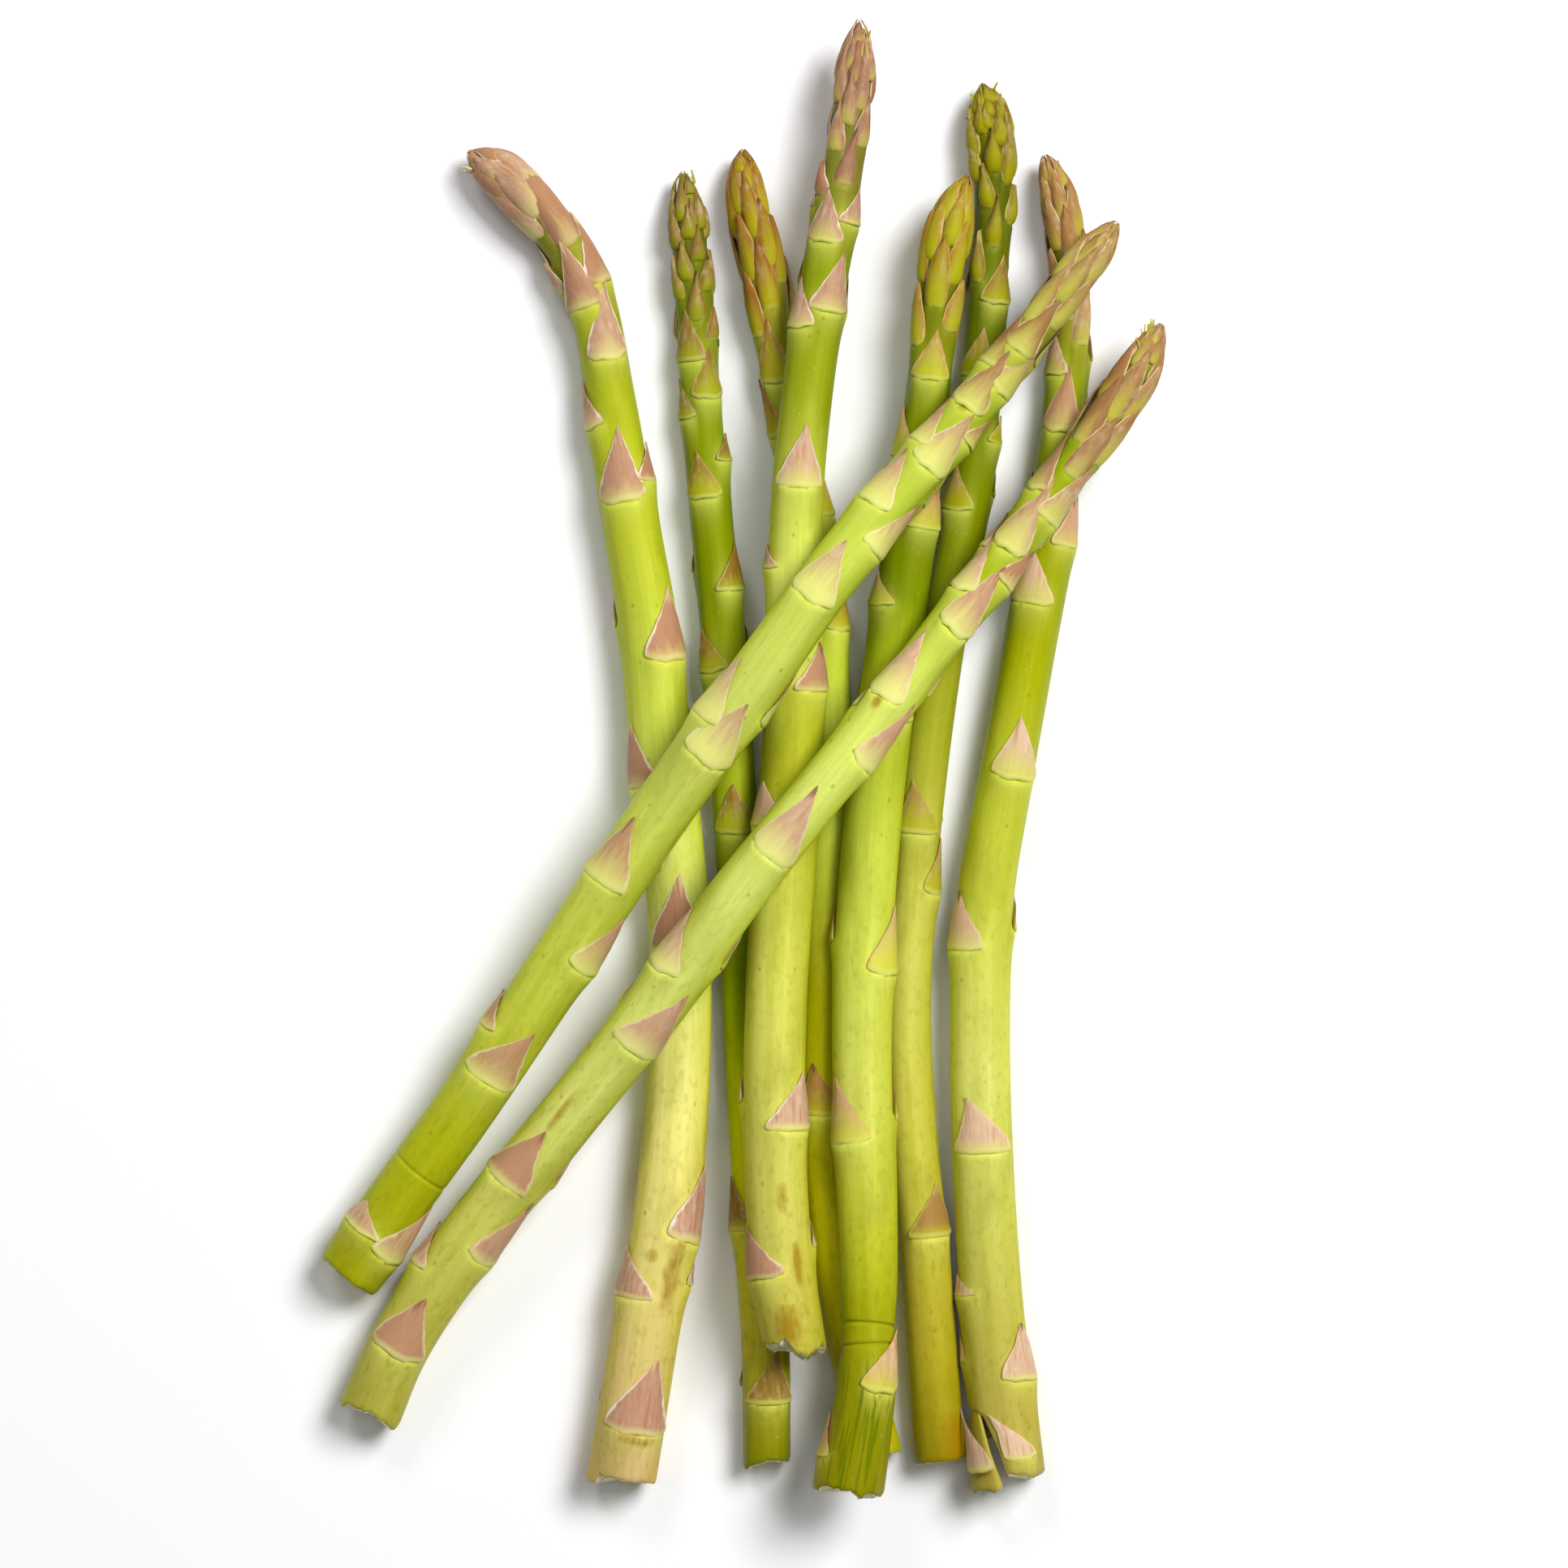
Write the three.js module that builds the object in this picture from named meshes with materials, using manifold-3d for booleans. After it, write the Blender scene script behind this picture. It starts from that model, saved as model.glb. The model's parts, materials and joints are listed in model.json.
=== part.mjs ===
// A loose bunch of nine green asparagus spears lying on a table, two of them across the others.
// Millimetres, +Z up. The butts point to -Y and the heads to +Y, and the table is at z = 0.
//
// Each spear grew as one piece, so it is one solid: a tapering stem swept along its own route,
// with its leaf scales and the close scales of its head fused on.

import * as THREE from 'three';
import { mergeVertices } from 'three/addons/utils/BufferGeometryUtils.js';
import Module from 'manifold-3d';

const wasm = await Module();
wasm.setup();

// ---------------------------------------------------------------- driving sizes

const STEM_SIDES = 10;
const RING_SPACING = 13;       // from one ring of the stem to the next
const HEAD_RING_SPACING = 6;   // nearer together where the head tapers
const HEAD_LENGTH = 30;
const ROOT_SHARE = 0.35;       // where a scale is rooted, along its length
const ROOT_DEPTH = 0.8;        // how deep, as a share of the stem's radius
const LEDGE_HEIGHT = 0.85;     // the swollen foot of a stem scale, above the stem
const BLADE_HEIGHT = 0.7;      // the middle of the blade, above the stem
const SIDE_HEIGHT = 0.45;      // the two side corners
const TIP_HEIGHT = 0.25;
const HEAD_SWELL = 1.25;       // how much more a scale of the head stands out
const FOOT_ARCH = 0.1;         // how far the foot's corners lie up the stem, of its length
const WIDE_FROM = 4.5;         // the stem radius from which a scale has the wide blade
const STEM_SPREAD = 54;        // half the angle that a stem scale wraps, in degrees
const HEAD_SPREAD = 42;
const GOLDEN_ANGLE = 137.5;    // the turn from one scale of a head to the next
const TABLE_CUT = 6;           // depth of the block that trims the undersides flat

// The outline of the split butt's gap, seen from above, from its closed end and back.
const SPLIT = [
  [40.2, -112.5], [43.3, -120.6], [43.3, -123], [46.9, -123], [46.7, -120.3], [43.6, -118.1],
  [42.3, -114.9],
];

// ---------------------------------------------------------------- the nine spears
//
// route: the middle line from the butt to the tip, as [x, y, z, stem radius].
// scales: [distance of the foot from the butt, angle, length, lean of the tip]. The angle is
// taken round the stem: 0 on top, +90 on the right looking to the tip, 180 underneath.
// bud: the spiral of close scales that shuts the head, from its first foot, by a rule.
// split: the butt is split.

const spears = [
  {
    name: 'spear_bent_head',
    colour: 0xc9d263,
    route: [
      [-20.6, -120.6, 5.7, 5.8], [-18.5, -108, 5.6, 5.7], [-15.9, -92, 5.8, 5.5],
      [-12.8, -74, 6.0, 5.5], [-10.9, -50, 5.9, 5.3], [-11.0, -26, 5.7, 5.1],
      [-13.7, -2, 5.8, 5.2], [-15.8, 20, 5.6, 5.0], [-19.2, 40, 5.2, 4.6],
      [-22.4, 60, 4.8, 4.1], [-25.4, 75, 4.7, 3.8], [-30.5, 86.5, 4.9, 3.6],
      [-38, 95, 5.3, 3.6], [-42.4, 98.4, 5.3, 3.0], [-46, 100.6, 5.2, 1.2],
    ],
    scales: [
      [8.2, 12, 13.4, 18], [30.5, -52, 8.5, -30], [41, 62, 13.5, 20], [88, -5, 14, 20],
      [116.5, -60, 11, 0], [137, 40, 12.5, 15], [164, -8, 13, 14], [167, 80, 7, 0],
      [177, -72, 8.5, 0], [187, 35, 13, 20], [197, -35, 12, 20], [205, 16, 11, 15],
      [63, 180, 12, 0], [104, 160, 12, 0], [152, -160, 12, 0], [186, 180, 11, 0],
      [203, -130, 10, 0],
    ],
    bud: { from: 209, to: 222, count: 9, firstAngle: -40, length: 13 },
  },
  {
    name: 'spear_slim_left',
    colour: 0x8f9f1c,
    route: [
      [3.7, -117.8, 3.9, 4.0], [3.5, -98, 4.1, 4.0], [1.9, -72, 4.4, 4.0],
      [0.5, -48, 4.4, 3.9], [-0.6, -24, 4.3, 3.8], [-2.2, 0, 4.3, 3.7],
      [-3.8, 22, 4.2, 3.6], [-5.8, 42, 4.0, 3.4], [-7.4, 62, 3.8, 3.1],
      [-8.7, 80, 3.7, 2.8], [-9.6, 90, 3.8, 2.4], [-10.3, 97.3, 4.0, 0.8],
    ],
    scales: [
      [10, 5, 9, 15], [39, -65, 9.5, 0], [105, 0, 8.5, 5], [132, -45, 8, -10],
      [145.3, 45, 8.3, 12], [161, -15, 8.4, -12], [167, 76, 5, 0], [174.5, -66, 6.5, 0],
      [177.5, 25, 9, 18], [184, -30, 9, -5], [187.2, 58, 6, 0], [190.7, 4, 8.7, 12],
      [194.3, -55, 8, 0],
      [66, 170, 9, 0], [120, -170, 9, 0], [153, 180, 8, 0], [171, 150, 8, 0],
      [186, -150, 8, 0],
    ],
    bud: { from: 196, to: 208, count: 8, firstAngle: -20, length: 7.5 },
  },
  {
    name: 'spear_under_middle',
    colour: 0x98a016,
    route: [
      [22.4, -116.4, 3.8, 3.9], [18.2, -100, 4.0, 3.9], [14.4, -80, 4.3, 3.9],
      [12.8, -58, 4.3, 3.8], [13.2, -34, 4.3, 3.7], [14.0, -10, 4.2, 3.6],
      [14.0, 10, 4.1, 3.5], [12.6, 30, 4.0, 3.4], [8.8, 50, 3.9, 3.3],
      [5.6, 66, 3.9, 3.2], [3.2, 80, 4.0, 3.2], [0.9, 91, 4.2, 2.8],
      [-0.1, 97, 4.2, 1.9], [-0.4, 101, 4.2, 0.8],
    ],
    scales: [
      [57.5, 0, 9, -15], [138, 55, 9, 0], [157, 72, 8, 0], [171.5, -64, 10.5, 0],
      [180.3, -15, 11, 10], [188.3, -52, 9.5, 0], [192.3, 5, 11, 5],
      [86, 180, 9, 0], [112, -90, 9, 0], [148, 180, 8, 0], [166, 150, 9, 0],
      [183, 180, 9, 0],
    ],
    bud: { from: 196, to: 210, count: 10, firstAngle: 55, length: 10 },
  },
  {
    name: 'spear_tall',
    colour: 0xbcc44a,
    route: [
      [8.6, -98.8, 13.9, 5.1], [6.2, -84, 13.9, 5.2], [5.0, -64, 13.4, 5.1],
      [5.2, -42, 12.7, 5.1], [6.4, -20, 11.7, 5.1], [8.0, 2, 11.4, 5.0],
      [8.4, 22, 11.8, 4.7], [8.7, 42, 12.3, 4.3], [10.4, 60, 12.0, 4.1],
      [12.8, 77, 11.2, 3.8], [15.6, 93, 10.6, 3.4], [17.8, 108, 10.2, 3.0],
      [18.6, 116, 10.0, 2.4], [19.0, 122.3, 9.8, 0.8],
    ],
    scales: [
      [13, -52, 9, -25], [37, 40, 10, 15], [87, -56, 8, 0], [110, 52, 8.5, 0],
      [130.4, -86, 4, 0], [143.6, 0, 10.7, 0], [169.6, -55, 9, 0], [173, 25, 10.8, 10],
      [184.3, -20, 9.5, -10], [188.2, 58, 6.5, 0], [192.2, -62, 6, 0], [194.3, 8, 10, 15],
      [199.7, -35, 8, 10], [201, 48, 8, 0],
      [66, -130, 9, 0], [134, -150, 9, 0], [160, 170, 9, 0], [182, -150, 8, 0],
      [197, 170, 8, 0],
    ],
    bud: { from: 203, to: 215, count: 9, firstAngle: -10, length: 8.5 },
  },
  {
    name: 'spear_kinked_butt',
    colour: 0xa5b81e,
    route: [
      [17.3, -121.8, 14.5, 5.8], [19.4, -110, 14.6, 5.2], [20.4, -102, 14.1, 4.9],
      [20.6, -95, 13.2, 4.4], [20.7, -88, 12.4, 4.7], [20.4, -74, 11.2, 4.9],
      [19.5, -52, 10.6, 4.9], [19.9, -30, 10.4, 4.9], [21.6, -8, 9.8, 4.8],
      [24.3, 14, 9.4, 4.7], [26.8, 32, 9.1, 4.3], [29.1, 50, 9.0, 3.9],
      [31.1, 66, 8.9, 3.5], [32.9, 81, 9.0, 3.3], [34.5, 89.4, 9.1, 2.8],
      [36.8, 96.4, 9.2, 0.8],
    ],
    scales: [
      [16.8, 42, 11, 25], [58, -42, 11.5, -20], [86, 60, 12, 10], [147, -62, 6, 0],
      [160.6, 42, 8, 12], [172, -60, 9, 0], [185.2, 0, 8.8, 5], [190, -55, 10, 0],
      [193.6, 30, 10.5, 12], [197.2, -20, 10, 10],
      [108, 180, 10, 0], [128, 10, 9, 0], [156, 180, 8, 0], [178, 140, 8, 0],
      [188, -150, 8, 0],
    ],
    bud: { from: 200, to: 212, count: 9, firstAngle: -60, length: 11 },
  },
  {
    name: 'spear_dark_head',
    colour: 0x9a9a1e,
    route: [
      [32.7, -117.6, 4.2, 4.3], [31.4, -102, 4.4, 4.3], [29.9, -82, 4.7, 4.2],
      [28.0, -62, 4.6, 4.0], [27.1, -42, 4.5, 3.9], [28.2, -20, 4.5, 3.9],
      [30.3, 0, 4.4, 3.8], [33.4, 22, 4.4, 3.8], [37.0, 42, 4.3, 3.7],
      [39.2, 60, 4.2, 3.5], [40.6, 78, 4.1, 3.2], [41.4, 94, 4.1, 3.0],
      [41.0, 104, 4.2, 3.1], [40.2, 109.6, 4.2, 2.2], [39.6, 112.3, 4.2, 1.2],
    ],
    scales: [
      [37.6, 25, 9.2, 15], [95, 76, 10, 0], [105, -5, 9, -30], [159, -35, 8, 0],
      [171, 80, 5, 0], [181.7, -20, 8.5, 10], [194, 30, 8.5, 12], [197.3, -40, 8.8, -5],
      [203.8, 5, 9, 12], [207.4, 56, 7, 0], [208.4, -62, 7, 0],
      [66, 180, 9, 0], [128, -170, 9, 0], [149, 150, 9, 0], [176, 180, 8, 0],
      [190, -150, 8, 0], [202, 150, 8, 0],
    ],
    bud: { from: 209, to: 226, count: 13, firstAngle: 20, length: 6.5 },
  },
  {
    name: 'spear_right',
    split: true,
    colour: 0xbac93d,
    route: [
      [44.4, -120.2, 5.6, 5.7], [42.8, -107, 5.4, 5.5], [41.1, -90, 5.5, 5.2],
      [39.8, -70, 5.7, 5.1], [39.2, -46, 5.6, 5.0], [40.0, -24, 5.4, 4.8],
      [43.4, -4, 5.1, 4.5], [47.0, 16, 5.0, 4.4], [50.2, 34, 4.8, 4.2],
      [52.6, 52, 4.3, 3.6], [54.2, 68, 4.1, 3.1], [54.2, 82, 4.1, 2.8],
      [52.6, 92, 4.2, 2.5], [50.2, 100.2, 4.2, 0.8],
    ],
    scales: [
      [2.6, 24, 9, -45], [16, 60, 10, 0], [31, -85, 4, 0], [54.5, 0, 9.5, -35],
      [88, -52, 10, -15], [117, 20, 10.8, -12], [146.2, -20, 9.5, -10], [156.5, 56, 10, 0],
      [175.3, -5, 11.5, 5], [184.8, -52, 8, 0], [190, 35, 10, 10], [194, -15, 10, 5],
      [42, 120, 9, 0], [72, 180, 9, 0], [104, 120, 9, 0], [134, 180, 9, 0],
      [166, -130, 9, 0], [181, 150, 9, 0],
    ],
    bud: { from: 198, to: 211, count: 9, firstAngle: 40, length: 10 },
  },
  {
    name: 'spear_crossing_upper',
    colour: 0xb9cf45,
    route: [
      [-66.0, -86.2, 5.15, 5.4], [-56.6, -72.4, 7.6, 5.2], [-46.4, -58.3, 10.0, 5.1],
      [-29.6, -32.9, 13.9, 5.1], [-16.2, -12.7, 17.0, 5.0], [-4.5, 3.9, 19.6, 4.9],
      [4.6, 16.5, 21.4, 4.8], [13.6, 29.1, 21.4, 4.5], [23.1, 40.9, 19.6, 4.2],
      [31.6, 50.6, 17.9, 3.9], [39.4, 60, 16.2, 3.5], [47, 69.6, 14.6, 3.2],
      [54, 78.5, 13.5, 2.9], [58.4, 84.3, 12.8, 2.2], [61.6, 88.4, 12.4, 0.8],
    ],
    scales: [
      [8, -42, 5, 0], [6, 62, 12, 15], [40.5, 5, 11.5, 28], [48, -86, 7, 0],
      [64.5, 62, 12, 0], [79, -28, 12.5, -15], [105.2, 12, 12.5, 10], [111, -60, 12, 0],
      [136.4, -8, 11.5, -4], [149, 56, 12, 0], [154.8, -40, 11.5, -10], [165.2, 10, 12.2, 4],
      [167.8, -66, 10, 0], [177.2, -15, 12, 4], [182.8, 42, 12, 0], [185.5, -56, 11, 0],
      [190.2, 0, 12, 8], [195.3, -36, 12, 10],
      [30, 180, 10, 0], [92, 160, 10, 0], [160, -150, 10, 0], [180, 150, 10, 0],
    ],
    bud: { from: 197, to: 208, count: 8, firstAngle: 50, length: 10.5 },
  },
  {
    name: 'spear_crossing_lower',
    colour: 0xc3d45a,
    route: [
      [-62.6, -109.5, 5.1, 5.3], [-57.6, -98.2, 6.4, 5.1], [-46.8, -81.4, 9.2, 5.1],
      [-31.2, -62, 12.8, 5.0], [-16.4, -43.4, 16.5, 4.9], [-1.7, -23.3, 20.4, 4.6],
      [12.3, -5.8, 21.5, 4.2], [22.6, 6.9, 20.1, 4.0], [32.8, 20.1, 17.9, 3.7],
      [43, 33, 15.7, 3.5], [51.6, 44.6, 14.0, 3.4], [59.3, 54.8, 12.8, 3.5],
      [65.3, 63.8, 11.9, 3.0], [69, 71.6, 11.0, 0.8],
    ],
    scales: [
      [11.6, 0, 11.4, 5], [26, -88, 8, 0], [32.5, 66, 14, 0], [46, -26, 11.6, 6],
      [77, 22, 13.2, 15], [90.5, -52, 11.5, -10], [115.8, 5, 14.4, -15], [136.5, 54, 14, 0],
      [147.5, -30, 14, -12], [163.2, 15, 14.5, 6], [169.5, -56, 13, 0], [175, 60, 8, 0],
      [179.6, -12, 15, -4], [187.7, 42, 12, 0], [190.7, -62, 11, 0], [196, 10, 12.5, 5],
      [201.4, -30, 12.5, 10], [200.2, 50, 12, 0],
      [58, 160, 10, 0], [128, -160, 10, 0], [171, 150, 10, 0], [190, -160, 10, 0],
    ],
    bud: { from: 203, to: 215, count: 8, firstAngle: 0, length: 11 },
  },
];

// ---------------------------------------------------------------- working along a route

const UP = new THREE.Vector3(0, 0, 1);
const radians = THREE.MathUtils.degToRad;

// A curve for the middle line, and beside it the radii, read at the same parameter.
function makeRoute(points) {
  const places = points.map(([x, y, z]) => new THREE.Vector3(x, y, z));
  const curve = new THREE.CatmullRomCurve3(places, false, 'centripetal');
  curve.arcLengthDivisions = 400;
  return { curve, radii: points.map((point) => point[3]), length: curve.getLength() };
}

// The place, directions and stem radius at a distance from the butt.
function stationAt(route, distance) {
  const share = THREE.MathUtils.clamp(distance / route.length, 0, 1);
  const parameter = route.curve.getUtoTmapping(share);
  const place = route.curve.getPoint(parameter);
  const forward = route.curve.getTangent(parameter);
  const right = new THREE.Vector3().crossVectors(forward, UP).normalize();
  const top = new THREE.Vector3().crossVectors(right, forward);
  const slot = Math.min(parameter * (route.radii.length - 1), route.radii.length - 1.0001);
  const index = Math.floor(slot);
  const radius = THREE.MathUtils.lerp(route.radii[index], route.radii[index + 1], slot - index);
  return { place, right, top, radius };
}

// A point on the spear, at an angle round it and a height above the stem.
function pointOn(route, distance, angle, height) {
  const { place, right, top, radius } = stationAt(route, distance);
  const reach = radius + height;
  return place.clone()
    .addScaledVector(right, Math.sin(radians(angle)) * reach)
    .addScaledVector(top, Math.cos(radians(angle)) * reach);
}

// ---------------------------------------------------------------- closed solids

function toManifold(points, triangles) {
  const vertProperties = new Float32Array(points.flatMap((point) => point.toArray()));
  const triVerts = new Uint32Array(triangles.flat());
  return new wasm.Manifold(new wasm.Mesh({ numProp: 3, vertProperties, triVerts }));
}

// Fusing can seal a small hollow or leave a scrap, and both are left out.
function largestBody(solid) {
  return solid.decompose().reduce((a, b) => (a.volume() > b.volume() ? a : b));
}

function toGeometry(solid) {
  const mesh = solid.getMesh();
  const geometry = new THREE.BufferGeometry();
  geometry.setAttribute('position', new THREE.BufferAttribute(mesh.vertProperties, 3));
  geometry.setIndex(new THREE.BufferAttribute(mesh.triVerts, 1));
  geometry.computeVertexNormals();
  return geometry;
}

// The stem: rings along the route, closed by a flat cut butt and a small flat tip.
function makeStem(route) {
  const distances = [];
  const headStart = route.length - HEAD_LENGTH;
  const stemRings = Math.round(headStart / RING_SPACING);
  const headRings = Math.round(HEAD_LENGTH / HEAD_RING_SPACING);
  for (let i = 0; i < stemRings; i += 1) {
    distances.push((headStart * i) / stemRings);
  }
  for (let i = 0; i <= headRings; i += 1) {
    distances.push(headStart + (HEAD_LENGTH * i) / headRings);
  }

  const points = [];
  for (const distance of distances) {
    for (let side = 0; side < STEM_SIDES; side += 1) {
      points.push(pointOn(route, distance, (360 * side) / STEM_SIDES, 0));
    }
  }

  const triangles = [];
  const last = (distances.length - 1) * STEM_SIDES;
  for (let ring = 0; ring < last; ring += STEM_SIDES) {
    for (let side = 0; side < STEM_SIDES; side += 1) {
      const next = (side + 1) % STEM_SIDES;
      const a = ring + side;
      const b = ring + next;
      triangles.push([a, b, a + STEM_SIDES], [b, b + STEM_SIDES, a + STEM_SIDES]);
    }
  }
  for (let side = 1; side < STEM_SIDES - 1; side += 1) {
    triangles.push([0, side + 1, side]);
    triangles.push([last, last + side, last + side + 1]);
  }
  return toManifold(points, triangles);
}

// The outer face of a leaf scale, as rows from the foot to the tip: [share of the length, then
// pairs of share of the spread and height]. A scale on a thick stem has more points at its foot,
// so that its faces don't sink into the round stem. outline runs round the points of the rows.
const WIDE_BLADE = {
  rows: [
    [0.0, [-1, SIDE_HEIGHT], [-0.5, LEDGE_HEIGHT], [0, LEDGE_HEIGHT], [0.5, LEDGE_HEIGHT], [1, SIDE_HEIGHT]],
    [0.5, [-0.62, SIDE_HEIGHT], [0, BLADE_HEIGHT], [0.62, SIDE_HEIGHT]],
    [1.0, [0, TIP_HEIGHT]],
  ],
  faces: [[0, 1, 5], [1, 6, 5], [1, 2, 6], [2, 3, 6], [3, 7, 6], [3, 4, 7], [5, 6, 8], [6, 7, 8]],
  outline: [0, 5, 8, 7, 4, 3, 2, 1],
};
const NARROW_BLADE = {
  rows: [
    [0.0, [-1, SIDE_HEIGHT], [0, LEDGE_HEIGHT], [1, SIDE_HEIGHT]],
    [0.5, [-0.65, SIDE_HEIGHT], [0, BLADE_HEIGHT], [0.65, SIDE_HEIGHT]],
    [1.0, [0, TIP_HEIGHT]],
  ],
  faces: [[0, 1, 4], [1, 2, 4], [0, 4, 3], [2, 5, 4], [3, 4, 6], [4, 5, 6]],
  outline: [0, 3, 6, 5, 2, 1],
};

// One leaf scale: a pointed blade lying on the stem, with a swollen foot. Its sides run in to a
// root near the middle of the stem.
function makeScale(route, foot, angle, length, lean, spread, swell) {
  const { radius } = stationAt(route, foot);
  const blade = radius > WIDE_FROM ? WIDE_BLADE : NARROW_BLADE;
  const points = [];
  for (const [share, ...stations] of blade.rows) {
    for (const [across, height] of stations) {
      const arched = share + FOOT_ARCH * across * across * (1 - share);
      const distance = Math.min(foot + length * arched, route.length - 0.3);
      const turn = angle + lean * share + spread * across;
      points.push(pointOn(route, distance, turn, height * swell));
    }
  }
  const rootDistance = Math.min(foot + length * ROOT_SHARE, route.length - 2);
  points.push(pointOn(route, rootDistance, angle, -stationAt(route, rootDistance).radius * ROOT_DEPTH));

  const root = points.length - 1;
  const walls = blade.outline.map((from, i) => [
    from, blade.outline[(i + 1) % blade.outline.length], root,
  ]);
  return toManifold(points, [...blade.faces, ...walls]);
}

// A three.js geometry as a solid, with its shared corners merged.
function fromGeometry(geometry) {
  geometry.deleteAttribute('normal');
  geometry.deleteAttribute('uv');
  const merged = mergeVertices(geometry);
  const vertProperties = merged.getAttribute('position').array;
  const triVerts = new Uint32Array(merged.getIndex().array);
  return new wasm.Manifold(new wasm.Mesh({ numProp: 3, vertProperties, triVerts }));
}

// The block under the table, which leaves each spear the small flats that it lies on.
const tableBlock = new THREE.BoxGeometry(400, 400, TABLE_CUT);
tableBlock.translate(0, 0, -TABLE_CUT / 2);
const underTable = fromGeometry(tableBlock);

// The split in the butt of the right-hand spear, cut from above through its whole depth.
const splitOutline = new THREE.Shape(SPLIT.map(([x, y]) => new THREE.Vector2(x, y)));
const splitBlock = new THREE.ExtrudeGeometry(splitOutline, { depth: 20, bevelEnabled: false });
splitBlock.translate(0, 0, -2);
const buttSplit = fromGeometry(splitBlock);

// ---------------------------------------------------------------- putting the bunch together

function makeSpear(spear) {
  const route = makeRoute(spear.route);
  let solid = makeStem(route);
  for (const [foot, angle, length, lean] of spear.scales) {
    solid = solid.add(makeScale(route, foot, angle, length, lean, STEM_SPREAD, 1));
  }
  const { from, to, count, firstAngle, length } = spear.bud;
  for (let i = 0; i < count; i += 1) {
    const foot = THREE.MathUtils.lerp(from, to, i / (count - 1));
    const angle = firstAngle + GOLDEN_ANGLE * i;
    solid = solid.add(makeScale(route, foot, angle, length, 0, HEAD_SPREAD, HEAD_SWELL));
  }
  if (spear.split) {
    solid = solid.subtract(buttSplit);
  }
  solid = largestBody(solid.subtract(underTable));

  const skin = new THREE.MeshStandardMaterial({
    color: spear.colour,
    roughness: 0.5,
    metalness: 0,
    flatShading: true,
  });
  const mesh = new THREE.Mesh(toGeometry(solid), skin);
  mesh.name = spear.name;
  return mesh;
}

const bunch = new THREE.Group();
bunch.name = 'asparagus_bunch';
for (const spear of spears) {
  bunch.add(makeSpear(spear));
}

export default bunch;
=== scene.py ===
import json
import math

import bpy
import numpy as np
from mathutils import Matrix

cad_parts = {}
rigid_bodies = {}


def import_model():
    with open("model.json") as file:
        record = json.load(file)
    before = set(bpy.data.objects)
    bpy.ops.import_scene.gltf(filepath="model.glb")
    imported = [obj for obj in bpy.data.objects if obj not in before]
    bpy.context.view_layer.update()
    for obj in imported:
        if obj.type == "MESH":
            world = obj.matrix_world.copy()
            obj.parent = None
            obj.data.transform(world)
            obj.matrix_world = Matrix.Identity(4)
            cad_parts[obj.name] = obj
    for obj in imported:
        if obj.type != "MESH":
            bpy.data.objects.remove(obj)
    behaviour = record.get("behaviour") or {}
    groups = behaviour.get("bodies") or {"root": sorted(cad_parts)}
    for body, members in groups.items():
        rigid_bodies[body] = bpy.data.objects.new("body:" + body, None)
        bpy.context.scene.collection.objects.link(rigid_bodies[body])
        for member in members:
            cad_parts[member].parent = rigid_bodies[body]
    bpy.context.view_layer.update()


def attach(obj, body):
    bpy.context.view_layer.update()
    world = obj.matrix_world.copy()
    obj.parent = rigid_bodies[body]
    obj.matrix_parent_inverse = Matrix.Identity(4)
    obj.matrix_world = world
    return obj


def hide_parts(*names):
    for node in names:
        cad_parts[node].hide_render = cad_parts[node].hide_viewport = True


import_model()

# ---------------- the spear with the bent head
# A spear of green asparagus grows in one piece: a fleshy stem, pointed papery scales pressed to
# it, and a head shut by closer scales. This thick one lies on the table at the left, cut at the
# butt. It is laid out straight, as distance along, angle round and height off the stem, and a
# node tree then wraps it round its route.

# Lengths are in mm and angles in degrees, up to the calls that make curves and meshes.
MM = 0.001
ROUTE_STEPS = 30
SHEET_SIDES = 72
SHEET_STEP = 0.8
SPLIT_STEP = 0.35
SLIVER_SIDES = 24
SLIVER_STEP = 0.6
CUT_RINGS = (0.93, 0.8, 0.62, 0.42, 0.22)
TORN_WAVES = (3, 5, 8, 13, 21, 30)
TORN_REACH = 3.0
RIB_COUNTS = (2, 3, 4, 6, 9)
GOLDEN_ANGLE = 137.5

# The three parts that a face can belong to.
SKIN, SCALE, CUT = 0, 1, 2

# The stem swells under each scale, and inside its head it is thinner and a little shorter.
SHOULDER_HEIGHT = 0.95
SHOULDER_REACH = 11.0
HEAD_SHOULDER_REACH = 4.0
CORE_SLIMMING = 0.7
CORE_SHORT = 0.2
HEAD_REACH = 22

# Heights and half widths of scales, and the ranges that their random draws come from.
SCALE_HEIGHT = 1.1
HEAD_HEIGHT = 1.3
HEAD_THINNING = 13
TIP_OVERHANG = 0.6
STEM_SPREAD = 57
SPREAD_LOSS = 8
HEAD_SPREAD = 34
HEIGHT_SHARES = (0.92, 1.08)
LIFTS = (-0.15, 0.2)
TOP_TURN = 62
UNDER_STEPS = (0.2, 0.5)
UNDER_TURNS = (-12, 12)
TIPS_START = 11
TIPS_SPAN = 7.5

# The fine threads at a tip. Their tone is over 1, which tells them from scales.
THREAD_SPREAD = 4
THREAD_TONE = 2
THREAD_START = 1.5
THREAD_LENGTHS = (1.3, 2.8)
THREAD_LEANS = (-50, 50)
THREAD_LIFTS = (-0.4, 1.2)


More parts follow.
